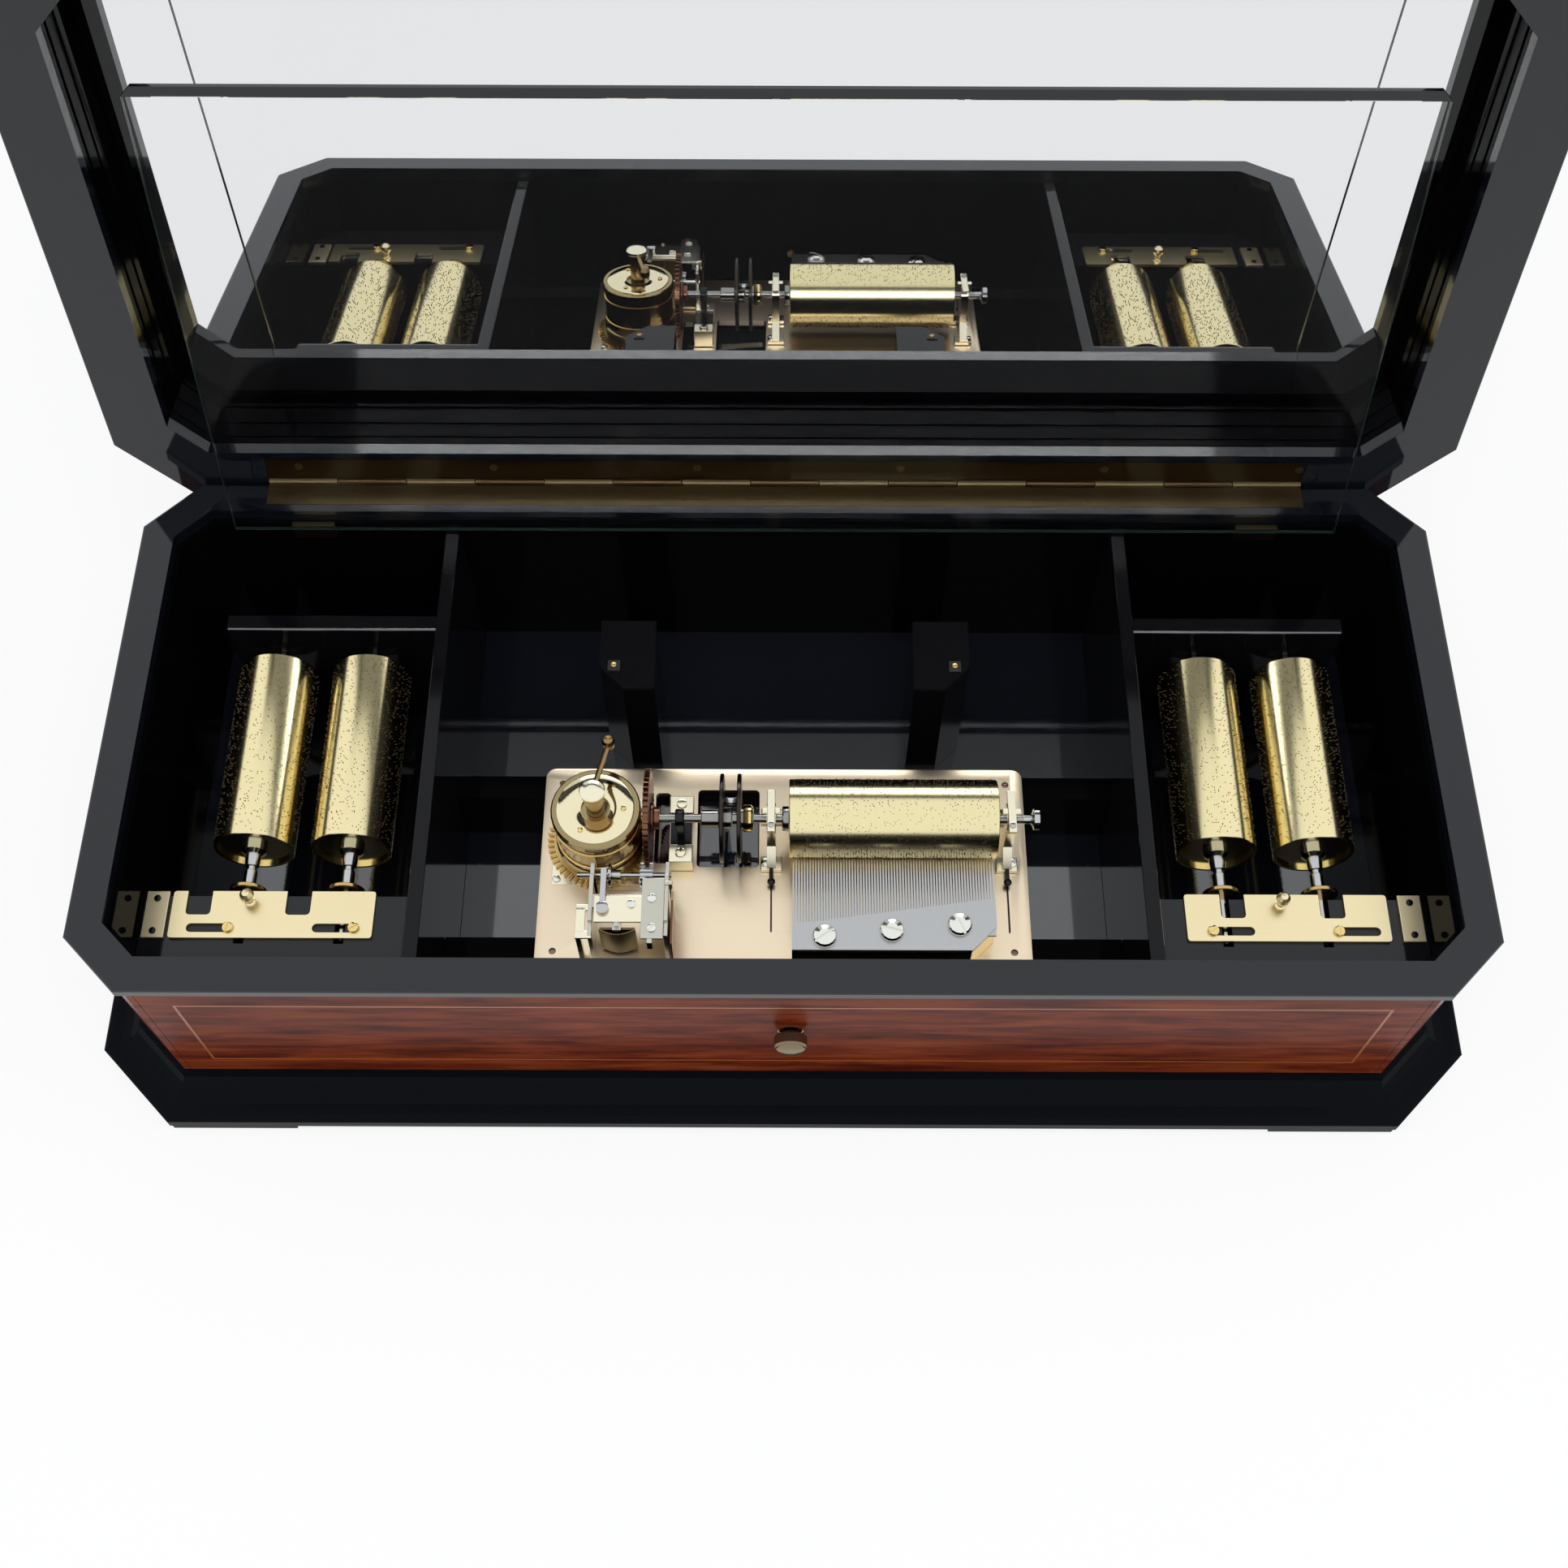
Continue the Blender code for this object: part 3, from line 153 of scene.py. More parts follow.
class NodeBook:
    """Makes the shader node groups that several finishes share, each once."""

    _groups: dict[str, bpy.types.NodeTree] = {}

    @classmethod
    def start(cls, name: str, inputs: dict[str, float | tuple | None],
              outputs: dict[str, str]) -> tuple[Wiring, bpy.types.Node, bpy.types.Node]:
        """Opens a new group with its sockets.

        Args:
            name: The group's name.
            inputs: Each input's default: a number, a colour, or None for a vector.
            outputs: Each output's kind.

        Returns:
            The group's wiring with its input and output nodes.
        """
        tree = bpy.data.node_groups.new(name, "ShaderNodeTree")
        for label, value in inputs.items():
            kind = "Vector" if value is None else "Color" if isinstance(value, tuple) else "Float"
            socket = tree.interface.new_socket(label, in_out="INPUT", socket_type="NodeSocket" + kind)
            if value is not None:
                socket.default_value = value
        for label, kind in outputs.items():
            tree.interface.new_socket(label, in_out="OUTPUT", socket_type="NodeSocket" + kind)
        cls._groups[name] = tree
        return Wiring(tree), tree.nodes.new("NodeGroupInput"), tree.nodes.new("NodeGroupOutput")

    @classmethod
    def get(cls, name: str) -> bpy.types.NodeTree:
        """Finds a group, and builds it on its first use.

        Args:
            name: The group's name.

        Returns:
            The group.
        """
        if name not in cls._groups:
            {"Fine surface": cls.fine_surface, "Brushed lines": cls.brushed_lines,
             "Wood figure": cls.wood_figure}[name]()
        return cls._groups[name]

    @staticmethod
    def unevenness(wiring: Wiring, pattern: bpy.types.Node, ends: tuple[bpy.types.Node, bpy.types.Node],
                   strength: str, distance: float) -> None:
        """Lets a pattern vary a group's roughness and raise a shallow bump.

        Args:
            wiring: The group's wiring.
            pattern: The noise that drives both.
            ends: The group's input and output nodes.
            strength: The input that sets the bump's strength.
            distance: The bump's height in metres.
        """
        entry, leave = ends
        shift = wiring.add("Math", {1: 0.5}, operation="SUBTRACT")
        spread = wiring.add("Math", operation="MULTIPLY_ADD")
        bump = wiring.add("Bump", {"Distance": distance})
        wiring.link((pattern, "Fac", shift, 0), (shift, 0, spread, 0), (entry, "Spread", spread, 1),
                    (entry, "Roughness", spread, 2), (pattern, "Fac", bump, "Height"),
                    (entry, strength, bump, "Strength"), (spread, 0, leave, "Roughness"),
                    (bump, "Normal", leave, "Normal"))

    @classmethod
    def fine_surface(cls) -> None:
        """Uneven polish: a roughness that wanders a little and a very shallow ripple."""
        wiring, entry, leave = cls.start(
            "Fine surface", {"Scale": 40.0, "Roughness": 0.1, "Spread": 0.05, "Ripple": 0.02},
            {"Roughness": "Float", "Normal": "Vector"})
        place = wiring.add("TexCoord")
        cloud = wiring.add("TexNoise", {"Detail": 4.0})
        wiring.link((place, "Object", cloud, "Vector"), (entry, "Scale", cloud, "Scale"))
        cls.unevenness(wiring, cloud, (entry, leave), "Ripple", 0.0002)

    @classmethod
    def brushed_lines(cls) -> None:
        """Fine parallel lines left by brushing, as a mask, a roughness and a bump."""
        wiring, entry, leave = cls.start(
            "Brushed lines", {"Vector": None, "Roughness": 0.3, "Spread": 0.12, "Depth": 0.15},
            {"Mask": "Float", "Roughness": "Float", "Normal": "Vector"})
        lines = wiring.add("TexNoise", {"Scale": 1.0, "Detail": 5.0, "Roughness": 0.7})
        wiring.link((entry, "Vector", lines, "Vector"), (lines, "Fac", leave, "Mask"))
        cls.unevenness(wiring, lines, (entry, leave), "Depth", 0.0001)

    @classmethod
    def wood_figure(cls) -> None:
        """Rosewood's colour: dark veins in a red-brown ground, with pores."""
        wiring, entry, leave = cls.start(
            "Wood figure",
            {"Vector": None, "Light": (0.3, 0.08, 0.03, 1.0), "Middle": (0.16, 0.035, 0.012, 1.0),
             "Dark": (0.05, 0.008, 0.003, 1.0)},
            {"Color": "Color", "Pores": "Float"})
        sway = wiring.add("TexNoise", {"Scale": 1.6, "Detail": 3.0})
        bend = wiring.add("VectorMath", {1: (0.5, 0.5, 0.5)}, operation="MULTIPLY_ADD")
        veins = wiring.add("TexNoise", {"Scale": 2.6, "Detail": 6.0, "Roughness": 0.62})
        ramp = wiring.add("ValToRGB")
        for element, position in zip(ramp.color_ramp.elements, (0.36, 0.52)):
            element.position = position
        ground = wiring.add("Mix", data_type="RGBA")
        glow = wiring.add("MapRange", {"From Min": 0.5, "From Max": 0.72})
        lit = wiring.add("Mix", data_type="RGBA")
        pores = wiring.add("TexNoise", {"Scale": 28.0, "Detail": 3.0})
        wiring.link((entry, "Vector", sway, "Vector"), (sway, "Color", bend, 0), (entry, "Vector", bend, 2),
                    (bend, 0, veins, "Vector"), (veins, "Fac", ramp, "Fac"),
                    (ramp, "Color", ground, "Factor"), (entry, "Dark", ground, "A"),
                    (entry, "Middle", ground, "B"), (veins, "Fac", glow, "Value"),
                    (glow, "Result", lit, "Factor"), (ground, "Result", lit, "A"), (entry, "Light", lit, "B"),
                    (entry, "Vector", pores, "Vector"), (lit, "Result", leave, "Color"),
                    (pores, "Fac", leave, "Pores"))


@dataclass(frozen=True)
class Finish:
    """A surface with a colour, polish and slight unevenness.

    Each finish makes its material once and hands out the same one.
    """

    name: str
    colour: Colour
    metallic: float = 0.0
    roughness: float = 0.1
    spread: float = 0.05
    ripple: float = 0.02
    scale: float = 40.0
    coat: float = 0.0
    ior: float = 1.5
    specular: float = 0.5

    def material(self) -> bpy.types.Material:
        """Finds this finish's material, or makes it."""
        found = bpy.data.materials.get(self.name)
        return found if found else self.make()

    def blank(self) -> tuple[bpy.types.Material, bpy.types.Node, Wiring]:
        """Starts a material with its plain values.

        Returns:
            The material, its Principled shader and the wiring of its nodes.
        """
        material = bpy.data.materials.new(self.name)
        material.use_nodes = True
        shader = material.node_tree.nodes["Principled BSDF"]
        shader.inputs["Base Color"].default_value = (*self.colour, 1.0)
        shader.inputs["Metallic"].default_value = self.metallic
        shader.inputs["Roughness"].default_value = self.roughness
        shader.inputs["Coat Weight"].default_value = self.coat
        shader.inputs["Coat Roughness"].default_value = 0.03
        shader.inputs["IOR"].default_value = self.ior
        shader.inputs["Specular IOR Level"].default_value = self.specular
        return material, shader, Wiring(material.node_tree)

    def make(self) -> bpy.types.Material:
        """Builds the nodes: one shared group sets roughness and ripple.

        Returns:
            The material.
        """
        material, shader, wiring = self.blank()
        values = {"Scale": self.scale, "Roughness": self.roughness, "Spread": self.spread,
                  "Ripple": self.ripple}
        surface = wiring.add("Group", values, node_tree=NodeBook.get("Fine surface"))
        wiring.link((surface, "Roughness", shader, "Roughness"), (surface, "Normal", shader, "Normal"))
        return material


@dataclass(frozen=True)
class Lacquer(Finish):
    """Black lacquer, with a slow and shallow ripple."""

    spread: float = 0.03
    ripple: float = 0.004
    scale: float = 25.0


@dataclass(frozen=True)
class Metal(Finish):
    """Bare metal."""

    metallic: float = 1.0
    spread: float = 0.08
    scale: float = 60.0


@dataclass(frozen=True)
class Brushed(Finish):
    """A metal brushed in one direction."""

    metallic: float = 1.0
    roughness: float = 0.3
    spread: float = 0.06
    ripple: float = 0.03
    stretch: Point = (4.0, 900.0, 900.0)
    dim: float = 0.94

    def make(self) -> bpy.types.Material:
        """Builds the nodes: lines that shade the colour, the roughness and the surface.

        Returns:
            The material.
        """
        material, shader, wiring = self.blank()
        values = {"Roughness": self.roughness, "Spread": self.spread, "Depth": self.ripple}
        lines = wiring.add("Group", values, node_tree=NodeBook.get("Brushed lines"))
        dimmed = (*(part * self.dim for part in self.colour), 1.0)
        tone = wiring.add("Mix", {"A": dimmed, "B": (*self.colour, 1.0)}, data_type="RGBA")
        wiring.link((wiring.mapped(self.stretch), "Vector", lines, "Vector"), (lines, "Mask", tone, "Factor"),
                    (tone, "Result", shader, "Base Color"), (lines, "Roughness", shader, "Roughness"),
                    (lines, "Normal", shader, "Normal"))
        return material


@dataclass(frozen=True)
class Veneer(Finish):
    """Polished rosewood under clear lacquer."""

    stretch: Point = (5.0, 30.0, 40.0)
    light: Colour = (0.22, 0.048, 0.015)
    dark: Colour = (0.055, 0.008, 0.003)

    def make(self) -> bpy.types.Material:
        """Builds the nodes: the wood figure under a clear coat.

        Returns:
            The material.
        """
        material, shader, wiring = self.blank()
        tones = {"Light": self.light, "Middle": self.colour, "Dark": self.dark}
        values = {label: (*tone, 1.0) for label, tone in tones.items()}
        figure = wiring.add("Group", values, node_tree=NodeBook.get("Wood figure"))
        bump = wiring.add("Bump", {"Strength": self.ripple, "Distance": 0.0001})
        wiring.link((wiring.mapped(self.stretch), "Vector", figure, "Vector"),
                    (figure, "Color", shader, "Base Color"), (figure, "Pores", bump, "Height"),
                    (bump, "Normal", shader, "Normal"))
        return material


@dataclass(frozen=True)
class Glass(Finish):
    """Clear flat glass."""

    def make(self) -> bpy.types.Material:
        """Builds a plain transmitting material.

        Returns:
            The material.
        """
        material, shader, _ = self.blank()
        shader.inputs["Transmission Weight"].default_value = 1.0
        return material


LACQUER = Lacquer("black_lacquer", (0.004, 0.005, 0.008), roughness=0.05, ripple=0.006, ior=1.52)
INNER_LACQUER = Lacquer("inner_black_lacquer", (0.0015, 0.0015, 0.002), roughness=0.06, ior=1.16,
                        specular=0.12)
BOARD_LACQUER = Lacquer("board_black_lacquer", (0.003, 0.003, 0.004), roughness=0.08, ior=1.3)
RACK_LACQUER = Lacquer("rack_black_lacquer", (0.006, 0.006, 0.008), roughness=0.06, ior=1.45)
# Lighter grey, strongly reflecting lacquer: a painted highlight along the rear racks' front top edges.
PAINTED_HIGHLIGHT_LACQUER = Lacquer("edge_highlight_painted_lacquer", (0.02, 0.021, 0.024), roughness=0.12, ripple=0.02, ior=2.3)
PLINTH_LACQUER = Lacquer("plinth_black_lacquer", (0.004, 0.0045, 0.006), roughness=0.14, ripple=0.006,
                         ior=1.2, specular=0.12)
FLOOR_BOARD = Lacquer("floor_black_lacquer", (0.006, 0.007, 0.011), roughness=0.05, scale=20.0, ior=2.1)
ROSEWOOD = Veneer("rosewood_veneer", (0.14, 0.021, 0.006), roughness=0.3, ripple=0.04, coat=0.02,
                  specular=0.06)
INLAY = Finish("inlay_line", (0.29, 0.085, 0.02), roughness=0.25, coat=0.03, scale=90.0)
BRASS = Metal("polished_brass", (0.86, 0.66, 0.28), roughness=0.09, spread=0.05)
# Very dark brass for the case's hinge leaf, the glass hinge and the hinge screws: partly the hinge's own dark
# bronze tone, partly painted shade of the box's back.
HINGE_BRASS = Metal("hinge_brass", (0.11, 0.08, 0.04), roughness=0.34)
# Darker copy of the hinge brass for the lid's leaf: painted shade that draws the lid leaf darker than the case
# leaf.
HINGE_PAINTED_SHADE = Metal("hinge_brass_painted_shade", (0.045, 0.028, 0.013), roughness=0.36)
END_BRASS = Metal("end_plate_brass", (0.92, 0.78, 0.50), roughness=0.42)
# Dim brass for the start knob and the bed screws: partly an aged tone, partly painted shade that puts the knob
# face's weak light into its colour.
KNOB_BRASS = Metal("aged_knob_brass_painted_shade", (0.24, 0.185, 0.115), roughness=0.26, spread=0.1)
POST_BRASS = Metal("winding_post_brass", (0.34, 0.225, 0.10), roughness=0.2, spread=0.1)
DRUM_BRASS = Metal("spring_drum_brass", (0.36, 0.28, 0.14), roughness=0.14, spread=0.1)
VANE_BRASS = Metal("fly_vane_brass", (0.24, 0.175, 0.075), roughness=0.3, spread=0.1)
PALE_BRASS = Metal("pale_brass_plate", (0.93, 0.86, 0.66), roughness=0.18, scale=80.0)
OLD_BRASS = Metal("aged_brass", (0.64, 0.44, 0.17), roughness=0.22, spread=0.1, scale=80.0)
COVER_BRASS = Metal("barrel_cover_brass", (0.90, 0.80, 0.54), roughness=0.07, spread=0.05, scale=40.0)
GOLD_TUBE = Brushed("cylinder_brass", (0.92, 0.80, 0.46), roughness=0.2, stretch=(900.0, 60.0, 60.0))
SPARE_TUBE = Brushed("spare_cylinder_brass", (0.95, 0.82, 0.47), roughness=0.17, stretch=(60.0, 900.0, 60.0))
LATCH_BRASS = Brushed("latch_brass", (0.99, 0.84, 0.51), ripple=0.02, dim=0.93)
BED_BRASS = Brushed("bed_brass", (0.97, 0.80, 0.58), spread=0.08, ripple=0.05, dim=0.93)
COMB_STEEL = Brushed("comb_steel", (0.56, 0.56, 0.565), spread=0.1, ripple=0.06, stretch=(900.0, 6.0, 900.0),
                     dim=0.88)
BRONZE = Metal("wheel_bronze", (0.22, 0.10, 0.06), roughness=0.3, spread=0.1, scale=90.0)
DISC_STEEL = Metal("coupling_disc_steel", (0.05, 0.042, 0.036), roughness=0.3)
STEEL = Metal("bright_steel", (0.56, 0.56, 0.56), roughness=0.16, spread=0.06, scale=90.0)
SHAFT_STEEL = Metal("shaft_steel", (0.33, 0.32, 0.30), roughness=0.2, scale=90.0)
BLUED = Metal("blued_steel", (0.03, 0.03, 0.033), roughness=0.25, scale=90.0)
PIN_STEEL = Metal("pin_steel", (0.11, 0.085, 0.055), roughness=0.4, spread=0.04, scale=90.0)
NICKEL = Metal("bright_nickel", (0.84, 0.83, 0.77), roughness=0.14, spread=0.06, scale=90.0)
SATIN_NICKEL = Metal("satin_nickel", (0.60, 0.58, 0.50), roughness=0.25, spread=0.1, scale=90.0)
MIRROR = Metal("silvered_mirror", (0.78, 0.79, 0.80), roughness=0.0, spread=0.0, ripple=0.0, scale=40.0)
PANE = Glass("clear_glass", (1.0, 1.0, 1.0), roughness=0.0, ior=1.12)
GLASS_EDGE = Finish("ground_glass_edge", (0.01, 0.018, 0.016), roughness=0.25, ior=1.2)
# Near-black flat finish: painted shade of a recess, laid flush on a flat top.
RECESS_PAINTED_SHADE = Finish("recess_painted_shade", (0.012, 0.011, 0.010), roughness=0.5)


class NodeDresser:
    """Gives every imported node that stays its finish."""

    by_start: tuple[tuple[str, Finish], ...] = (
        ("wall_", ROSEWOOD), ("lid_band", ROSEWOOD), ("lid_mirror", MIRROR), ("glass_pane", PANE),
        ("lid_panel", ROSEWOOD), ("lining_", INNER_LACQUER), ("upright", BOARD_LACQUER),
        ("plinth", PLINTH_LACQUER), ("bed_rail", INNER_LACQUER), ("lid_lining", INNER_LACQUER),
        ("floor_panel", FLOOR_BOARD), ("drive_wheel", BRONZE), ("drive_shaft", SHAFT_STEEL),
        ("latch_plate", LATCH_BRASS), ("cylinder_arbor", SHAFT_STEEL), ("governor_arbor", STEEL),
        ("release_knob", STEEL), ("comb_screw", NICKEL), ("comb_base", BRASS), ("comb", COMB_STEEL),
        ("governor_frame", SATIN_NICKEL), ("spring_barrel", DRUM_BRASS), ("barrel_wheel", OLD_BRASS),
        ("winding_crank", POST_BRASS), ("bearing_", PALE_BRASS), ("start_knob", KNOB_BRASS),
        ("hinge_leaf_lid", HINGE_PAINTED_SHADE), ("hinge_leaf", HINGE_BRASS), ("glass_hinge", HINGE_BRASS),
        ("latch_rack", RACK_LACQUER), ("governor_fly", VANE_BRASS))

    def finish_for(self, node: str) -> Finish:
        """Chooses a node's finish by the start of its name; the rest of the case is lacquered."""
        return next((finish for start, finish in self.by_start if node.startswith(start)), LACQUER)

    def dress(self) -> None:
        """Puts each node's finish in all its material slots."""
        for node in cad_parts:
            solid = bpy.data.objects[node]
            material = self.finish_for(node).material()
            if not solid.data.materials:
                solid.data.materials.append(material)
            for number in range(len(solid.data.materials)):
                solid.data.materials[number] = material
            log.info("dressed %s as %s", node, material.name)


class Workbench:
    """Modelling steps that the shapes share, each done with Blender's own tools."""

    @staticmethod
    def clear() -> None:
        """Deselects everything, so that an operator acts on the new piece only."""
        bpy.ops.object.select_all(action="DESELECT")

    @staticmethod
    def named(name: str) -> bpy.types.Object:
        """Names the piece that is active, and its mesh.

        Args:
            name: The name.

        Returns:
            The piece.
        """
        piece = bpy.context.object
        piece.name = name
        piece.data.name = name
        return piece

    @classmethod
    def only(cls, piece: bpy.types.Object) -> None:
        """Selects one piece alone and makes it active.

        Args:
            piece: The piece.
        """
        cls.clear()
        piece.select_set(True)
        bpy.context.view_layer.objects.active = piece

    @staticmethod
    def scale(size: Sequence[float]) -> None:
        """Scales the active piece and settles its size and place in its mesh."""
        bpy.context.object.scale = size
        bpy.ops.object.transform_apply(location=True, rotation=False, scale=True)

    @staticmethod
    def extrude(height: float) -> None:
        """Raises the selected faces by a height in metres."""
        bpy.ops.mesh.extrude_region_move(TRANSFORM_OT_translate={"value": (0, 0, height)})

    @staticmethod
    def open_mesh() -> None:
        """Starts editing the active piece, all of it selected."""
        bpy.ops.object.mode_set(mode="EDIT")
        bpy.ops.mesh.select_all(action="SELECT")

    @staticmethod
    def close_mesh() -> None:
        """Turns every face outwards and ends the editing."""
        bpy.ops.mesh.select_all(action="SELECT")
        bpy.ops.mesh.normals_make_consistent(inside=False)
        bpy.ops.object.mode_set(mode="OBJECT")

    @classmethod
    def bevel(cls, edge: float) -> None:
        """Bevels every edge of the active piece.

        Args:
            edge: The bevel's width in millimetres.
        """
        cls.open_mesh()
        bpy.ops.mesh.bevel(offset=edge * MM, segments=2, affect="EDGES")
        bpy.ops.object.mode_set(mode="OBJECT")

    @classmethod
    def apply(cls, piece: bpy.types.Object, kind: str, **settings: object) -> None:
        """Changes a piece by a modifier and makes the change final.

        Args:
            piece: The piece to change.
            kind: The modifier's type.
            settings: The modifier's own properties.
        """
        change = piece.modifiers.new("change", kind)
        for name, value in settings.items():
            setattr(change, name, value)
        cls.only(piece)
        bpy.ops.object.modifier_apply(modifier="change")

    @classmethod
    def bore(cls, piece: bpy.types.Object, centre: Point, radius: float, depth: float,
             axis: Axis = Axis.Z) -> None:
        """Drills a round hole through a piece.

        Args:
            piece: The piece to drill.
            centre: The hole's middle in case millimetres.
            radius: Its radius in millimetres.
            depth: How long the drill is in millimetres.
            axis: The way it is drilled.
        """
        cls.clear()
        bpy.ops.mesh.primitive_cylinder_add(vertices=32, radius=radius * MM, depth=depth * MM,
                                            location=(0, 0, 0))
        drill = cls.named("drill")
        drill.data.transform(Matrix.Translation(spot(*centre)) @ axis.turn())
        cls.take_away(piece, drill)

    @classmethod
    def take_away(cls, piece: bpy.types.Object, tool: bpy.types.Object) -> None:
        """Cuts a tool's shape out of a piece and removes the tool."""
        cls.apply(piece, "BOOLEAN", operation="DIFFERENCE", solver="EXACT", object=tool)
        bpy.data.objects.remove(tool, do_unlink=True)

    @classmethod
    def joined(cls, name: str, pieces: Sequence[bpy.types.Object]) -> bpy.types.Object:
        """Joins pieces that never move apart into one, under one name.

        Args:
            name: The name.
            pieces: One piece or several.

        Returns:
            The one piece.
        """
        cls.only(pieces[0])
        for piece in pieces[1:]:
            piece.select_set(True)
        if len(pieces) > 1:
            bpy.ops.object.join()
        return cls.named(name)

    @classmethod
    def form(cls, name: str, *shapes: "Shape") -> bpy.types.Object:
        """Models shapes that never move apart, as one piece."""
        return cls.joined(name, [shape.make(name) for shape in shapes])

    @staticmethod
    def fit(piece: bpy.types.Object, finish: Finish, slot: str, body: Carrier | str = Carrier.CASE) -> None:
        """Gives a piece its finish and the body that it rides on.

        Args:
            piece: The finished piece.
            finish: Its finish.
            slot: Not used.
            body: The body that carries it.
        """
        piece.data.materials.clear()
        piece.data.materials.append(finish.material())
        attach(piece, body.value if isinstance(body, Carrier) else body)
        log.info("made %s, %d faces, as %s", piece.name, len(piece.data.polygons), finish.name)

    @classmethod
    def add(cls, name: str, finish: Finish, slot: str, *shapes: "Shape",
            body: Carrier | str = Carrier.CASE) -> None:
        """Models a piece from its shapes and fits it.

        Args:
            name: The piece's name.
            finish: Its finish.
            slot: The record's material slot.
            shapes: What it is made of.
            body: The body that carries it.
        """
        cls.fit(cls.form(name, *shapes), finish, slot, body)


class Shape:
    """Something that can be modelled on the workbench, with its place in its mesh."""

    def model(self) -> None:
        """Models the shape and leaves it active."""
        raise NotImplementedError

    def make(self, name: str) -> bpy.types.Object:
        """Models the shape under a name.

        Args:
            name: The piece's name.

        Returns:
            The new piece.
        """
        Workbench.clear()
        self.model()
        return Workbench.named(name)


@dataclass(frozen=True)
class Bar(Shape):
    """A bar with bevelled edges between its lowest and highest corners, in case millimetres."""

    low: Point
    high: Point
    edge: float = 0.3

    def model(self) -> None:
        """Scales a cube and bevels it."""
        start, end = spot(*self.low), spot(*self.high)
        bpy.ops.mesh.primitive_cube_add(size=1.0, location=(start + end) / 2)
        Workbench.scale(end - start)
        Workbench.bevel(self.edge)


@dataclass(frozen=True)
class Turning(Shape):
    """A turned piece.

    Its profile is the radius and place along the axis of each step, in millimetres, and its centre is where
    the profile's zero lies.
    """

    profile: Profile
    centre: Point
    axis: Axis = Axis.Z
    steps: int = 24

    def model(self) -> None:
        """Extrudes a disc, and widens or narrows it step by step."""
        radius, along = self.profile[0]
        bpy.ops.mesh.primitive_circle_add(vertices=self.steps, radius=radius * MM, fill_type="NGON",
                                          location=(0, 0, 0))
        Workbench.open_mesh()
        bpy.ops.transform.translate(value=(0, 0, along * MM))
        for next_radius, next_along in self.profile[1:]:
            Workbench.extrude((next_along - along) * MM)
            ratio = next_radius / radius
            bpy.ops.transform.resize(value=(ratio, ratio, 1.0), center_override=(0, 0, next_along * MM))
            radius, along = next_radius, next_along
        Workbench.close_mesh()
        bpy.ops.object.shade_smooth_by_angle(angle=SMOOTH_ANGLE)
        bpy.context.object.data.transform(Matrix.Translation(spot(*self.centre)) @ self.axis.turn())


@dataclass(frozen=True)
class Plate(Shape):
    """A flat plate with round corners between two corners, in case millimetres; its bevel may be 0."""

    low: Point
    high: Point
    corner: float
    edge: float = 0.0

    def model(self) -> None:
        """Rounds a rectangle's corners, raises it and bevels its sharp edges."""
        start, end = spot(*self.low), spot(*self.high)
        place = Vector(((start.x + end.x) / 2, (start.y + end.y) / 2, start.z))
        bpy.ops.mesh.primitive_plane_add(size=1.0, location=place)
        Workbench.scale((end.x - start.x, end.y - start.y, 1.0))
        Workbench.open_mesh()
        bpy.ops.mesh.bevel(offset=self.corner * MM, segments=5, affect="VERTICES")
        bpy.ops.mesh.select_all(action="SELECT")
        Workbench.extrude(end.z - start.z)
        Workbench.close_mesh()
        if self.edge:
            Workbench.apply(bpy.context.object, "BEVEL", width=self.edge * MM, segments=2,
                            limit_method="ANGLE", angle_limit=math.radians(50))
            bpy.ops.object.shade_smooth_by_angle(angle=SMOOTH_ANGLE)


@dataclass(frozen=True)
class Strip(Shape):
    """A thin rectangular frame that lies flat round the origin, its corners cut off by a length or not."""

    half_x: float
    half_y: float
    width: float
    depth: float
    corner: float = 0.0

    def model(self) -> None:
        """Insets a rectangle, drops its middle and raises the rest."""
        bpy.ops.mesh.primitive_plane_add(size=2.0, location=(0, 0, 0))
        Workbench.scale((self.half_x * MM, self.half_y * MM, 1.0))
        Workbench.open_mesh()
        if self.corner:
            bpy.ops.mesh.bevel(offset=self.corner * MM, segments=1, affect="VERTICES")
            bpy.ops.mesh.select_all(action="SELECT")
        bpy.ops.mesh.inset(thickness=self.width * MM, use_even_offset=True)
        bpy.ops.mesh.delete(type="FACE")
        bpy.ops.mesh.select_all(action="SELECT")
        Workbench.extrude(self.depth * MM)
        Workbench.close_mesh()


@dataclass(frozen=True)
class Screw(Shape):
    """A slotted cheese-head screw: sizes in millimetres, where its head seats, and its slot's angle."""

    radius: float
    height: float
    shank: float = 0.5
    slot: float = 0.5
    steps: int = 18
    place: Point = (0.0, 0.0, 0.0)
    turn: float = 0.0

    def at(self, x: float, y: float, z: float, turn: float) -> "Screw":
        """The same screw at another place, its slot turned by some degrees."""
        return replace(self, place=(x, y, z), turn=turn)

    def model(self) -> None:
        """Turns the screw and saws its slot."""
        neck = self.radius * 0.55
        profile = ((neck, -self.shank), (neck, 0.0), (self.radius, 0.0), (self.radius, self.height * 0.6),
                   (self.radius * 0.93, self.height * 0.88), (self.radius * 0.75, self.height))
        screw = Turning(profile, self.place, Axis.Z, self.steps).make("screw")
        Workbench.clear()
        bpy.ops.mesh.primitive_cube_add(size=1.0, location=(0, 0, 0))
        saw = Workbench.named("saw")
        size = Vector((3 * self.radius, self.slot, self.height * 0.9)) * MM
        spin = Matrix.Rotation(math.radians(self.turn), 4, "Z")
        middle = spot(*self.place) + Vector((0, 0, self.height)) * MM
        saw.data.transform(Matrix.Translation(middle) @ spin @ Matrix.Diagonal((*size, 1.0)))
        Workbench.take_away(screw, saw)


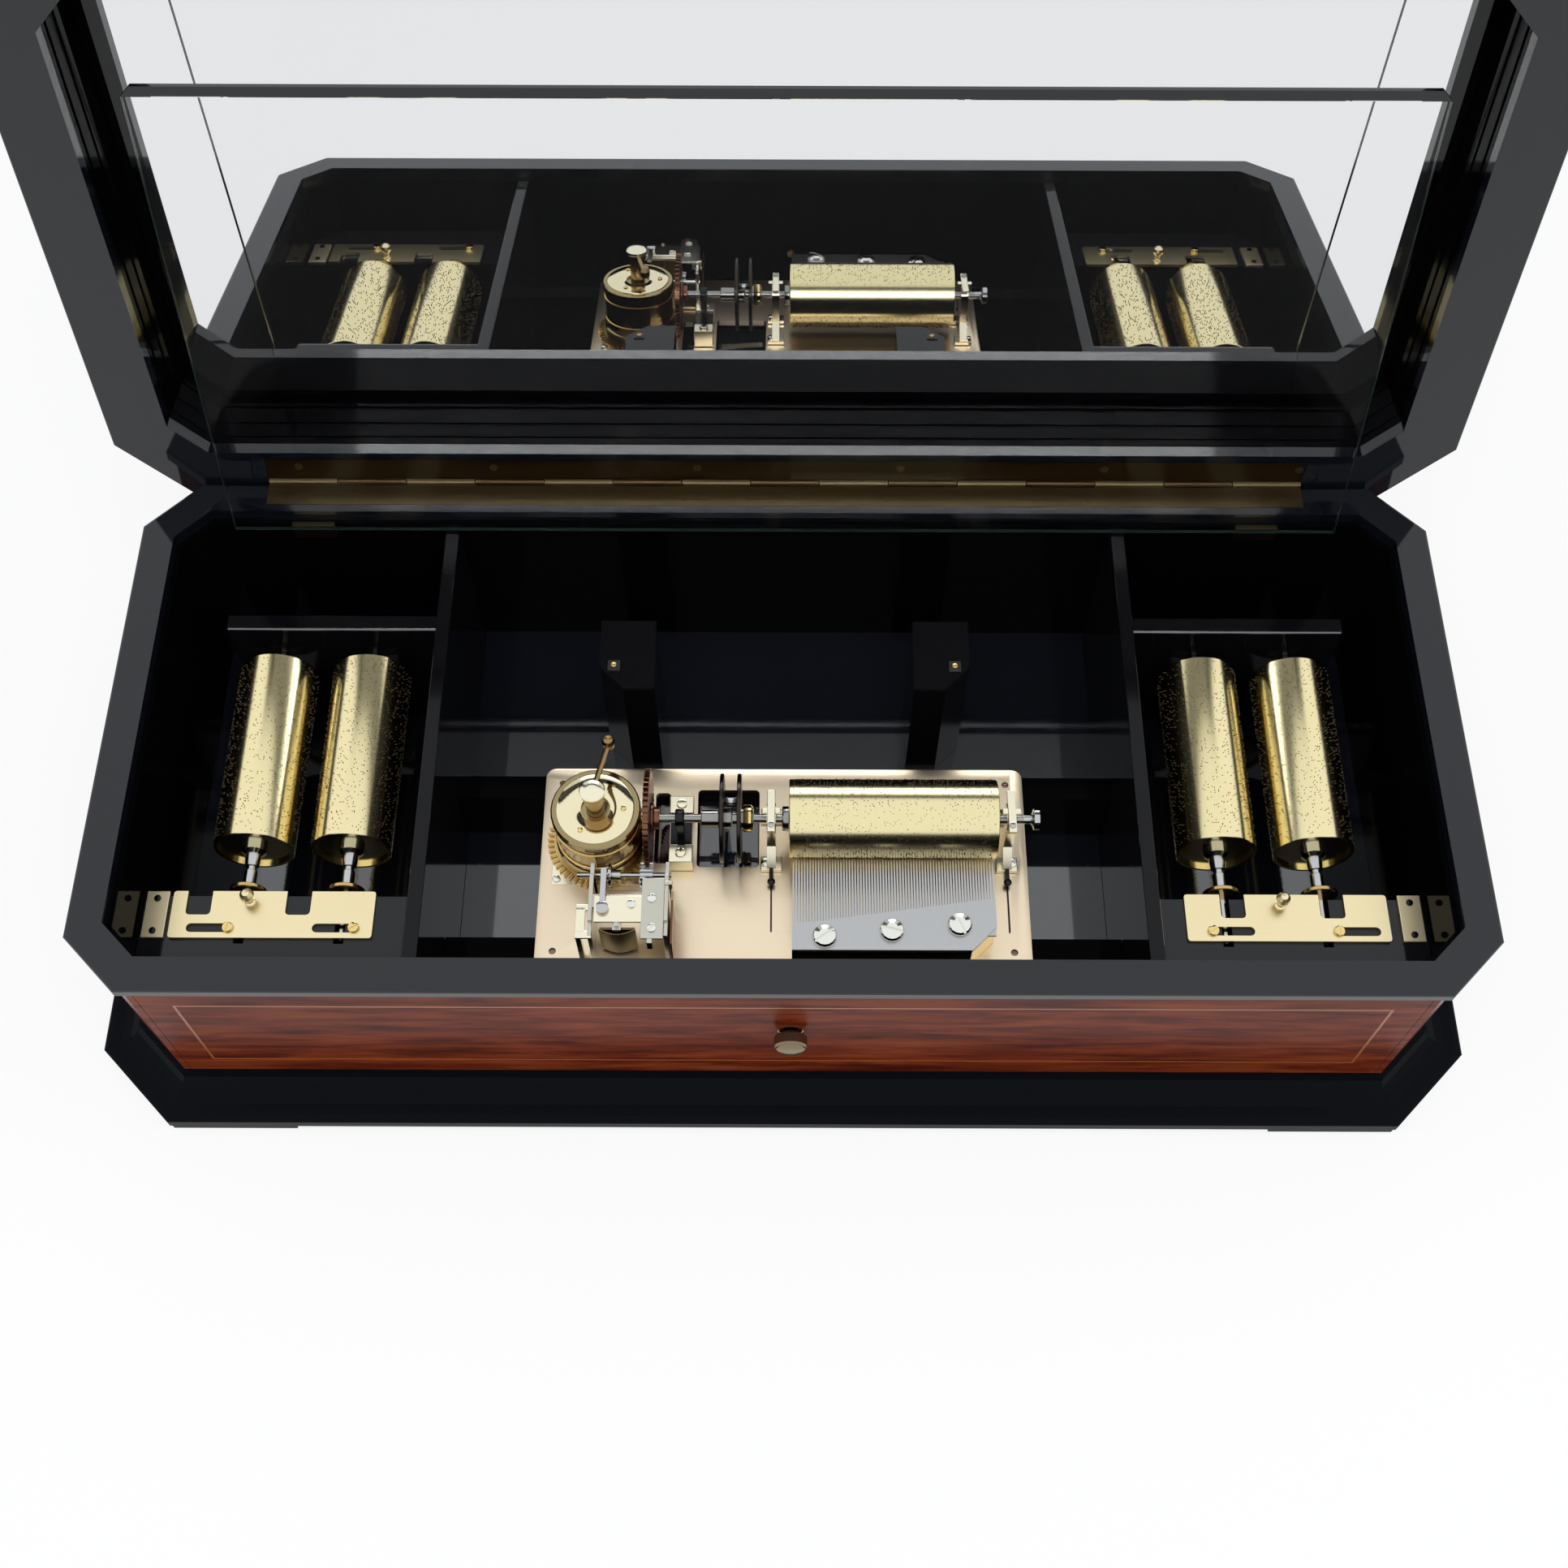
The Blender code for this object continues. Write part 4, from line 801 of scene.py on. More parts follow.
@dataclass
class TuneCylinders:
    """The mounted cylinder and the four spare ones, each a smooth tube with its tune in fine pins."""

    radius: float = 22.0
    length: float = 115.0
    recess: float = 2.0
    wall: float = 2.0
    tracks: int = 72
    notes: int = 26
    beats: int = 128
    margin: float = 2.0
    thickness: float = 0.52
    mounted_height: float = 0.45
    spare_height: float = 0.5
    start_x: float = 3.0
    spare_x: tuple[float, float] = (240.0, 294.0)
    spare_z: float = 102.0
    spare_start: float = -54.0

    def build(self) -> None:
        """Makes all five cylinders and the spare ones' axles."""
        centre = (self.start_x, SHAFT_Y, SHAFT_Z)
        tube = self.tube("mounted_tube", centre, Axis.X)
        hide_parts("music_cylinder")
        Workbench.fit(tube, GOLD_TUBE, "brass", Carrier.LINE)
        place = Matrix.Translation(spot(*centre)) @ Axis.X.turn()
        self.cover("pins_mounted", place, self.mounted_height, 7, Carrier.LINE)
        for side, label in SIDES:
            for number, x in enumerate(self.spare_x, 1):
                name = f"spare_{label}_{number}"
                centre = (side * x, self.spare_start, self.spare_z)
                tube = self.tube(f"{name}_tube", centre, Axis.Y)
                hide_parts(f"spare_cylinder_{label}_{number}")
                Workbench.fit(tube, SPARE_TUBE, "brass", name)
                place = Matrix.Translation(spot(*centre)) @ Axis.Y.turn()
                self.cover(f"{name}_pins", place, self.spare_height, 20 + side * 3 + number, name)
                self.axle(name, centre)

    def tube(self, name: str, centre: Point, axis: Axis) -> bpy.types.Object:
        """Turns one tube with its end plates set back a little.

        Args:
            name: The piece's name.
            centre: The middle of its first end.
            axis: The way it runs.

        Returns:
            The tube.
        """
        wall, end = self.radius - self.wall, self.length
        profile = ((wall, self.recess), (wall, 0.0), (self.radius - 0.3, 0.0), (self.radius, 0.3),
                   (self.radius, end - 0.3), (self.radius - 0.3, end), (wall, end), (wall, end - self.recess))
        return Turning(profile, centre, axis, 96).make(name)

    def axle(self, body: str, centre: Point) -> None:
        """Makes a spare cylinder's steel axle with its cone, and the gilt disc behind the latch.

        Args:
            body: The cylinder's body.
            centre: The middle of the cylinder's front end.
        """
        cone = ((1.5, 56.0), (2.5, 55.0), (2.5, 23.4), (3.5, 23.2), (3.5, 13.0), (2.6, 12.4), (2.6, 10.4),
                (3.7, 10.0), (4.6, 3.0), (6.8, 1.0), (6.8, -2.1))
        end = self.length - self.recess
        stub = ((2.5, end - 0.1), (2.5, end + 22.5), (2.0, end + 23.0))
        Workbench.add(f"{body}_axle", STEEL, "steel", Turning(cone, centre, Axis.FRONT, 28),
                      Turning(stub, centre, Axis.Y), body=body)
        disc = Turning(((9.6, 23.5), (10.0, 23.9), (10.0, 25.6), (9.6, 26.0)), centre, Axis.FRONT, 40)
        Workbench.add(f"{body}_disc", OLD_BRASS, "brass", disc, body=body)

    def pin(self, height: float) -> bpy.types.Object:
        """Models one pin, narrower at its tip.

        Args:
            height: How far it stands out in millimetres.

        Returns:
            The pin, pointing along x from the case's origin.
        """
        half = self.thickness / 2
        profile = ((half, -0.2), (half, height * 0.7), (half * 0.6, height))
        return Turning(profile, (0.0, 0.0, 0.0), Axis.X, 4).make("pin")

    def tune(self, seed: int) -> list[tuple[float, float]]:
        """Places of the pins: notes on beats, and short runs over neighbouring tracks.

        Args:
            seed: What makes one cylinder's tune differ from another's.

        Returns:
            Angle in radians and place along the cylinder in millimetres.
        """
        chance = random.Random(seed)
        pitch = (self.length - 2 * self.margin) / self.tracks
        places = []
        for track in range(self.tracks):
            along = self.margin + (track + 0.5) * pitch
            for _ in range(chance.randint(self.notes - 8, self.notes + 4)):
                beat = chance.randrange(self.beats)
                places.append((2 * math.pi * beat / self.beats, along + chance.choice((-0.35, 0.0, 0.35))))
            if track % 2 == 0:
                beat = chance.randrange(self.beats)
                step = chance.choice((-1, 1))
                for count in range(chance.randint(3, 6)):
                    along = self.margin + ((track + count * step) % self.tracks + 0.5) * pitch
                    places.append((2 * math.pi * (beat + count * 0.5) / self.beats, along))
        return places

    def cover(self, name: str, place: Matrix, height: float, seed: int, body: Carrier | str) -> None:
        """Copies the pin to every place of a tune, in one piece.

        Args:
            name: The piece's name.
            place: Turns the cylinder's own frame, with its axis along Z, into the world.
            height: How far the pins stand out in millimetres.
            seed: The tune's seed.
            body: The body that carries the cylinder.
        """
        model = self.pin(height)
        model.data.transform(Matrix.Translation(-CASE_ORIGIN))
        corners = [vertex.co.copy() for vertex in model.data.vertices]
        sides = [tuple(face.vertices) for face in model.data.polygons]
        points: list[Vector] = []
        faces: list[tuple[int, ...]] = []
        for angle, along in self.tune(seed):
            first = len(points)
            seat = Matrix.Rotation(angle, 4, "Z") @ Matrix.Translation((self.radius * MM, 0, 0))
            seat = place @ Matrix.Translation((0, 0, along * MM)) @ seat
            points += [seat @ corner for corner in corners]
            faces += [tuple(first + corner for corner in side) for side in sides]
        bpy.data.objects.remove(model, do_unlink=True)
        mesh = bpy.data.meshes.new(name)
        mesh.from_pydata(points, [], faces)
        piece = bpy.data.objects.new(name, mesh)
        bpy.context.scene.collection.objects.link(piece)
        Workbench.fit(piece, PIN_STEEL, "steel", body)


@dataclass
class InlayLines:
    """Thin light wood lines let into the veneer of the four sides."""

    width: float = 1.4
    sunk: float = 0.3
    proud: float = 0.06
    low: float = 43.0
    high: float = 124.0
    half_front: float = 318.0
    half_side: float = 106.0
    front: float = 154.5
    side: float = 366.0

    def build(self) -> None:
        """Makes the four frames."""
        middle, half_z = (self.low + self.high) / 2, (self.high - self.low) / 2
        front, side = self.front - self.sunk, self.side - self.sunk
        for name, degrees, x, y, half in (
                ("front", 0, 0.0, -front, self.half_front), ("back", 180, 0.0, front, self.half_front),
                ("left", -90, -side, 0.0, self.half_side), ("right", 90, side, 0.0, self.half_side)):
            strip = Strip(half, half_z, self.width, self.sunk + self.proud).make(f"inlay_{name}")
            around = Matrix.Rotation(math.radians(degrees), 4, "Z")
            strip.data.transform(Matrix.Translation(spot(x, y, middle)) @ around @ Axis.FRONT.turn())
            Workbench.fit(strip, INLAY, "rosewood")


@dataclass
class LidFrame:
    """Turns what is modelled on the closed lid to its open place."""

    pivot: Point = (0.0, 161.0, 154.15)
    angle: float = -100.0

    def opened(self, piece: bpy.types.Object) -> bpy.types.Object:
        """Turns a piece about the hinge, within its mesh.

        Args:
            piece: The piece, as it lies on the closed lid.

        Returns:
            The same piece.
        """
        pivot = Matrix.Translation(spot(*self.pivot))
        piece.data.transform(pivot @ Matrix.Rotation(math.radians(self.angle), 4, "X") @ pivot.inverted())
        return piece


@dataclass
class LidTrim(LidFrame):
    """Dark border of the mirror, and a fine bead round the panel on the lid's top."""

    mirror_face: float = 200.6
    half_x: float = 370.0
    half_y: float = 158.5
    leg: float = 30.0
    inset: float = 21.6
    border: float = 5.0
    panel_face: float = 211.3
    bead: Strip = Strip(327.5, 116.0, 3.0, 1.2, 3.0)
    bead_edge: float = 0.35

    def build(self) -> None:
        """Makes the border and the bead."""
        leg = self.leg - self.inset * (2 - math.sqrt(2))
        border = Strip(self.half_x - self.inset, self.half_y - self.inset, self.border, 0.35, leg)
        border = border.make("mirror_border")
        border.data.transform(Matrix.Translation(spot(0.0, 0.0, self.mirror_face - 0.3)))
        Workbench.fit(self.opened(border), INNER_LACQUER, "lacquer", Carrier.LID)
        bead = self.bead.make("lid_panel_bead")
        bead.data.transform(Matrix.Translation(spot(0.0, 0.0, self.panel_face)))
        Workbench.only(bead)
        Workbench.bevel(self.bead_edge)
        Workbench.fit(self.opened(bead), INLAY, "rosewood", Carrier.LID)


@dataclass
class HingeScrews(LidFrame):
    """Nearly flush screws at six places along the long hinge, one in each leaf."""

    places: tuple[float, ...] = (-290.0, -177.0, -59.0, 59.0, 177.0, 290.0)
    row_y: float = 150.0
    case_face: float = 154.0
    lid_face: float = 154.3
    stagger: float = 8.0
    screw: Screw = Screw(2.4, 0.22, steps=14)

    def build(self) -> None:
        """Makes the screws of the case leaf and of the lid leaf."""
        Workbench.add("hinge_screws_case", HINGE_BRASS, "brass",
                      *(self.screw.at(x, self.row_y, self.case_face, 15.0 * i)
                        for i, x in enumerate(self.places)))
        moving = Workbench.form("hinge_screws_lid",
                                *(self.screw.at(x + self.stagger, self.row_y, self.lid_face, 25.0 * i)
                                  for i, x in enumerate(self.places)))
        level = Matrix.Translation(spot(0.0, self.row_y, self.lid_face))
        moving.data.transform(level @ Matrix.Rotation(math.pi, 4, "X") @ level.inverted())
        Workbench.fit(self.opened(moving), HINGE_BRASS, "brass", Carrier.LID)


@dataclass
class GlassTrim(LidFrame):
    """Ground edges of the glass lid."""

    pivot: Point = (0.0, 131.8, 147.8)
    angle: float = -105.0
    half_x: float = 318.0
    low: float = 146.3
    high: float = 149.3
    front: float = -132.8
    back: float = 131.8
    strip: float = 0.45
    overlap: float = 0.02

    def build(self) -> None:
        """Makes the two side edges and the back edge."""
        for side, label in SIDES:
            left, right = span(side, self.half_x - self.overlap, self.half_x + self.strip)
            self.edge(label, (left, self.front), (right, self.back))
        self.edge("back", (-self.half_x, self.back - self.overlap), (self.half_x, self.back + self.strip))

    def edge(self, label: str, near: tuple[float, float], far: tuple[float, float]) -> None:
        """Makes one edge between its near left and far right corners."""
        bar = Bar((*near, self.low + 0.1), (*far, self.high - 0.1), 0.12).make(f"glass_edge_{label}")
        Workbench.fit(self.opened(bar), GLASS_EDGE, "glass", Carrier.GLASS)


@dataclass
class LatchTrim:
    """Screws that the latch plates slide on, and the small fixed plate at each end."""

    screws_x: tuple[float, float] = (232.0, 300.0)
    screw_y: float = -103.7
    rack_top: float = 106.7
    plate_top: float = 109.0
    plate_x: tuple[float, float] = (334.2, 346.6)
    plate_y: tuple[float, float] = (-109.5, -82.0)
    small_x: float = 340.4
    small_y: tuple[float, float] = (-105.5, -86.5)
    screw: Screw = Screw(3.1, 1.8, 2.6, 0.6)
    small: Screw = Screw(1.9, 0.9, 1.0, 0.4, 14)

    def build(self) -> None:
        """Makes both ends of the box."""
        for side, label in SIDES:
            Workbench.add(f"latch_screws_{label}", BRASS, "brass",
                          *(self.screw.at(side * x, self.screw_y, self.plate_top + 0.25, 30.0 + 50 * i)
                            for i, x in enumerate(self.screws_x)))
            left, right = span(side, *self.plate_x)
            near, far = self.plate_y
            plate = Bar((left, near, self.rack_top - 0.05), (right, far, self.plate_top), 0.4)
            Workbench.add(f"end_plate_{label}", END_BRASS, "brass", plate)
            Workbench.add(f"end_plate_screws_{label}", BLUED, "steel",
                          *(self.small.at(side * self.small_x, y, self.plate_top, 70.0)
                            for y in self.small_y))


@dataclass
class BedTrim:
    """Brushed bed plate with its openings, its recessed screws, and the barrel's mounting plate."""

    half_x: float = 138.0
    front: float = -114.0
    back: float = 11.0
    low: float = 75.0
    top: float = 79.0
    hole_inset: float = 10.0
    openings: tuple[tuple[float, float, float, float], ...] = (
        (-49.5, -52.3, -14.0, -2.9), (-73.8, -50.0, -65.0, -5.0))
    barrel_plate: tuple[float, float, float, float] = (-131.0, -63.5, -77.4, -8.5)
    barrel_plate_rise: float = 0.28
    barrel_screws_x: tuple[float, float] = (-128.2, -79.8)
    barrel_screws_y: tuple[float, float] = (-60.2, -11.8)
    screw: Screw = Screw(1.85, 0.9, 2.0, 0.45, 14)
    head: Screw = Screw(2.3, 1.5, 0.4)

    def build(self) -> None:
        """Makes the plates and their screws."""
        bed = Plate((-self.half_x, self.front, self.low), (self.half_x, self.back, self.top), 6.0, 0.3)
        bed = bed.make("bed_skin")
        for left, near, right, far in self.openings:
            tool = Plate((left, near, self.low - 2.0), (right, far, self.top + 2.0), 2.5)
            Workbench.take_away(bed, tool.make("opening"))
        places = [(x, y) for x in (self.hole_inset - self.half_x, self.half_x - self.hole_inset)
                  for y in (self.front + self.hole_inset, self.back - self.hole_inset)]
        for x, y in places:
            Workbench.bore(bed, (x, y, self.top), 2.0, 12.0)
        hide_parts("bed_plate")
        Workbench.fit(bed, BED_BRASS, "pale_brass")
        Workbench.add("bed_screws", KNOB_BRASS, "brass",
                      *(self.screw.at(x, y, self.top - 1.5, 40.0 + x) for x, y in places))
        left, near, right, far = self.barrel_plate
        plate = Bar((left, near, self.top), (right, far, self.top + self.barrel_plate_rise), 0.1)
        Workbench.add("barrel_plate", PALE_BRASS, "brass", plate)
        Workbench.add("barrel_plate_screws", NICKEL, "nickel",
                      *(self.head.at(x, y, self.top + 0.2, 30.0 + y)
                        for x in self.barrel_screws_x for y in self.barrel_screws_y))


@dataclass
class BearingTrim:
    """Feet, straps, screws and adjusting levers of the arbor's bearings, and the shaft's bearing."""

    seat: float = 79.3
    middles: tuple[tuple[str, int, float], ...] = (("left", -1, -7.0), ("right", 1, 126.0))
    foot_reach: float = 15.0
    flange: Point = (6.0, 4.4, 2.6)
    feet: tuple[tuple[str, float, float], ...] = (("front", -54.8, -44.0), ("rear", -24.0, -13.2))
    foot_top: float = 91.4
    screw: Screw = Screw(2.6, 1.6, slot=0.55)
    cap: Screw = Screw(1.8, 0.9, steps=16)
    head: Screw = Screw(3.0, 1.4, slot=0.7)

    def build(self) -> None:
        """Makes the fittings of the three bearings."""
        for label, side, x in self.middles:
            self.pillar(label, side, x)
            self.lever(label, x)
        self.shaft_bearing()

    def pillar(self, label: str, side: int, x: float) -> None:
        """Makes one arbor bearing's flanges, straps and screws.

        Args:
            label: Which of the two it is.
            side: -1 on the left, 1 on the right.
            x: Its middle.
        """
        ends = (SHAFT_Y - self.foot_reach, SHAFT_Y + self.foot_reach)
        half_x, half_y, rise = self.flange
        flange_top = self.seat + rise
        Workbench.add(f"bearing_flange_{label}", PALE_BRASS, "brass",
                      *(Bar((x - half_x, y - half_y, self.seat), (x + half_x, y + half_y, flange_top), 0.35)
                        for y in ends))
        Workbench.add(f"bearing_screws_{label}", NICKEL, "nickel",
                      *(self.screw.at(x + side * 3.1, y, flange_top, 35.0 + 60 * i)
                        for i, y in enumerate(ends)))
        strap_top = SHAFT_Z + 10.2
        strap = Bar((x - 2.3, SHAFT_Y - 13.0, SHAFT_Z + 8.7), (x + 2.3, SHAFT_Y + 13.0, strap_top), 0.4)
        cross = Bar((x - 5.2, SHAFT_Y - 1.6, SHAFT_Z + 8.8), (x + 5.2, SHAFT_Y + 1.6, SHAFT_Z + 9.9), 0.4)
        Workbench.add(f"bearing_strap_{label}", PALE_BRASS, "brass", strap, cross)
        Workbench.add(f"bearing_cap_screw_{label}", STEEL, "steel",
                      self.cap.at(x, SHAFT_Y - 9.0, strap_top, 10.0))

    def lever(self, label: str, x: float) -> None:
        """Makes one bearing's lever with its ball, and below it a thin dark bar on the bed that paints the
        bracket's reflection in the polished bed.

        Args:
            label: Which of the two it is.
            x: Its middle.
        """
        tip = SHAFT_Y - 27.0
        lever = Bar((x - 1.1, tip, self.seat + 2.9), (x + 1.1, SHAFT_Y - 13.0, self.seat + 4.3))
        ball = Turning(((0.8, -1.8), (1.9, -1.2), (2.3, 0.0), (1.9, 1.2), (0.8, 1.8)),
                       (x, tip, self.seat + 3.6), Axis.Z, 14)
        # A thin dark bar lying on the bed: a painted reflection of the bearing's bracket.
        bracket_reflection_bar = Bar((x - 0.45, SHAFT_Y - 56.0, self.seat + 0.1), (x + 0.45, SHAFT_Y - 19.5, self.seat + 0.7),
                   0.12)
        Workbench.add(f"bearing_lever_and_painted_reflection_{label}", BLUED, "steel", lever, ball, bracket_reflection_bar)

    def shaft_bearing(self) -> None:
        """Makes the shaft bearing: a dark block with a slim head and two pale feet, a screw in each."""
        block = Bar((-64.0, -44.5, self.seat), (-52.0, -23.5, 90.0), 0.4)
        head = Turning(((4.6, -60.5), (5.2, -60.0), (5.2, -56.0), (4.6, -55.5)), (0.0, SHAFT_Y, SHAFT_Z),
                       Axis.X, 28)
        neck = Bar((-60.0, SHAFT_Y - 4.2, 89.0), (-56.0, SHAFT_Y + 4.2, 107.0))
        bearing = Workbench.form("shaft_bearing_skin", block, head, neck)
        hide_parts("shaft_bearing")
        Workbench.fit(bearing, BLUED, "brass")
        for label, near, far in self.feet:
            foot = Bar((-64.8, near, self.seat), (-51.2, far, self.foot_top), 0.5)
            Workbench.add(f"shaft_bearing_foot_{label}", PALE_BRASS, "brass", foot)
            Workbench.add(f"shaft_bearing_screw_{label}", PALE_BRASS, "nickel",
                          self.head.at(-58.0, (near + far) / 2, self.foot_top, 5.0))


@dataclass
class CouplingTrim:
    """The shafts with what turns on them: coupling discs, gilt collar, drive pin, wheel hub and rings."""

    shaft: float = 2.5
    disc: float = 25.0
    bore: float = 5.8
    discs: tuple[tuple[str, float, int], ...] = (("drive", -35.4, 1), ("cylinder", -23.6, -1))
    collar: Profile = ((7.2, -22.6), (7.6, -22.0), (7.6, -18.2), (6.8, -17.4), (5.0, -16.8))
    pin: Profile = ((1.9, -33.4), (2.2, -33.0), (2.2, -26.0), (1.9, -25.6))
    hub: Profile = ((5.2, -73.8), (9.0, -73.6), (9.0, -72.6), (6.4, -71.8), (6.2, -69.4))
    rings: tuple[float, float] = (3.2, 116.0)

    def build(self) -> None:
        """Makes the two shafts, the discs, and what sits on them."""
        centre = (0.0, SHAFT_Y, SHAFT_Z)
        drive = ((4.5, -78.4), (4.5, -77.4), (self.shaft, -77.2), (self.shaft, -46.2), (4.6, -46.0),
                 (5.0, -45.6), (5.0, -36.6), (6.0, -36.0), (6.0, -29.3))
        drive = Turning(drive, centre, Axis.X, 32).make("drive_shaft_skin")
        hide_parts("drive_shaft")
        Workbench.fit(drive, SHAFT_STEEL, "steel", Carrier.LINE)
        arbor = ((4.0, -28.6), (4.0, -26.0), (6.5, -25.4), (6.5, -17.0), (self.shaft, -16.8),
                 (self.shaft, -1.0), (6.6, -0.9), (7.0, -0.4), (7.0, 2.7), (self.shaft, 2.9),
                 (self.shaft, 133.4), (2.0, 133.8))
        arbor = Turning(arbor, centre, Axis.X, 32).make("cylinder_arbor_skin")
        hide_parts("cylinder_arbor")
        Workbench.fit(arbor, SHAFT_STEEL, "steel", Carrier.LINE)
        for label, start, way in self.discs:
            steps = ((self.bore, 0.0), (self.disc - 0.4, 0.0), (self.disc, 0.4), (self.disc, 1.8),
                     (self.disc - 0.4, 2.2), (self.bore, 2.2))
            rim = [(radius, start + along * way) for radius, along in steps][::way]
            Workbench.add(f"coupling_disc_{label}", DISC_STEEL, "steel", Turning(rim, centre, Axis.X, 48),
                          body=Carrier.LINE)
        Workbench.add("coupling_collar", BRASS, "brass", Turning(self.collar, centre, Axis.X, 28),
                      body=Carrier.LINE)
        pin = Turning(self.pin, (0.0, SHAFT_Y + 6.0, SHAFT_Z + 9.0), Axis.X, 16)
        Workbench.add("coupling_drive_pin", STEEL, "steel", pin, body=Carrier.LINE)
        hub = Turning(self.hub, centre, Axis.X)
        Workbench.add("drive_wheel_hub", BRONZE, "brass", hub, body=Carrier.LINE)
        rings = [Turning(((6.2, a), (8.4, a + 0.3), (8.4, a + 1.4), (6.2, a + 1.9)), centre, Axis.X)
                 for a in self.rings]
        Workbench.add("cylinder_end_rings", STEEL, "steel", *rings, body=Carrier.LINE)


@dataclass
class BoardTrim:
    """Partitions, rear racks with a bead of lighter lacquer on each that paints the highlight of the rack's
    front top edge, and the board below the bed.
    """

    edge: float = 0.7
    spare_x: tuple[float, float] = (240.0, 294.0)
    spare_z: float = 102.0
    hole: float = 3.2
    bead: float = 0.9
    under: Plate = Plate((-80.0, -60.0, 64.0), (-6.0, 6.0, 70.0), 3.0, 0.4)

    @staticmethod
    def reach(node: str) -> tuple[Point, Point]:
        """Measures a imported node.

        Args:
            node: The node's name.

        Returns:
            Its lowest and highest corners in case millimetres.
        """
        solid = bpy.data.objects[node]
        corners = [(solid.matrix_world @ Vector(corner) - CASE_ORIGIN) / MM for corner in solid.bound_box]
        low, high = (tuple(pick(corner[i] for corner in corners) for i in range(3)) for pick in (min, max))
        return low, high

    def build(self) -> None:
        """Makes the boards of both end bays and the one below the movement."""
        for side, label in SIDES:
            board = Bar(*self.reach(f"partition_{label}"), self.edge).make(f"partition_{label}_skin")
            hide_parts(f"partition_{label}")
            Workbench.fit(board, BOARD_LACQUER, "lacquer")
            low, high = self.reach(f"rear_rack_{label}")
            rack = Bar(low, high, self.edge).make(f"rear_rack_{label}_skin")
            for x in self.spare_x:
                Workbench.bore(rack, (side * x, low[1], self.spare_z), self.hole, 17.6, Axis.FRONT)
            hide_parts(f"rear_rack_{label}")
            Workbench.fit(rack, BOARD_LACQUER, "lacquer")
            # The bead's lighter lacquer paints the highlight along the rack's front top edge.
            profile = ((self.bead - 0.3, low[0] + 1.0), (self.bead, low[0] + 1.3),
                       (self.bead, high[0] - 1.3), (self.bead - 0.3, high[0] - 1.0))
            bead = Turning(profile, (0.0, low[1] + 0.7, high[2] - 0.7), Axis.X, 16)
            Workbench.add(f"rear_rack_highlight_bead_{label}", PAINTED_HIGHLIGHT_LACQUER, "lacquer", bead)
        Workbench.add("movement_board", FLOOR_BOARD, "lacquer", self.under)


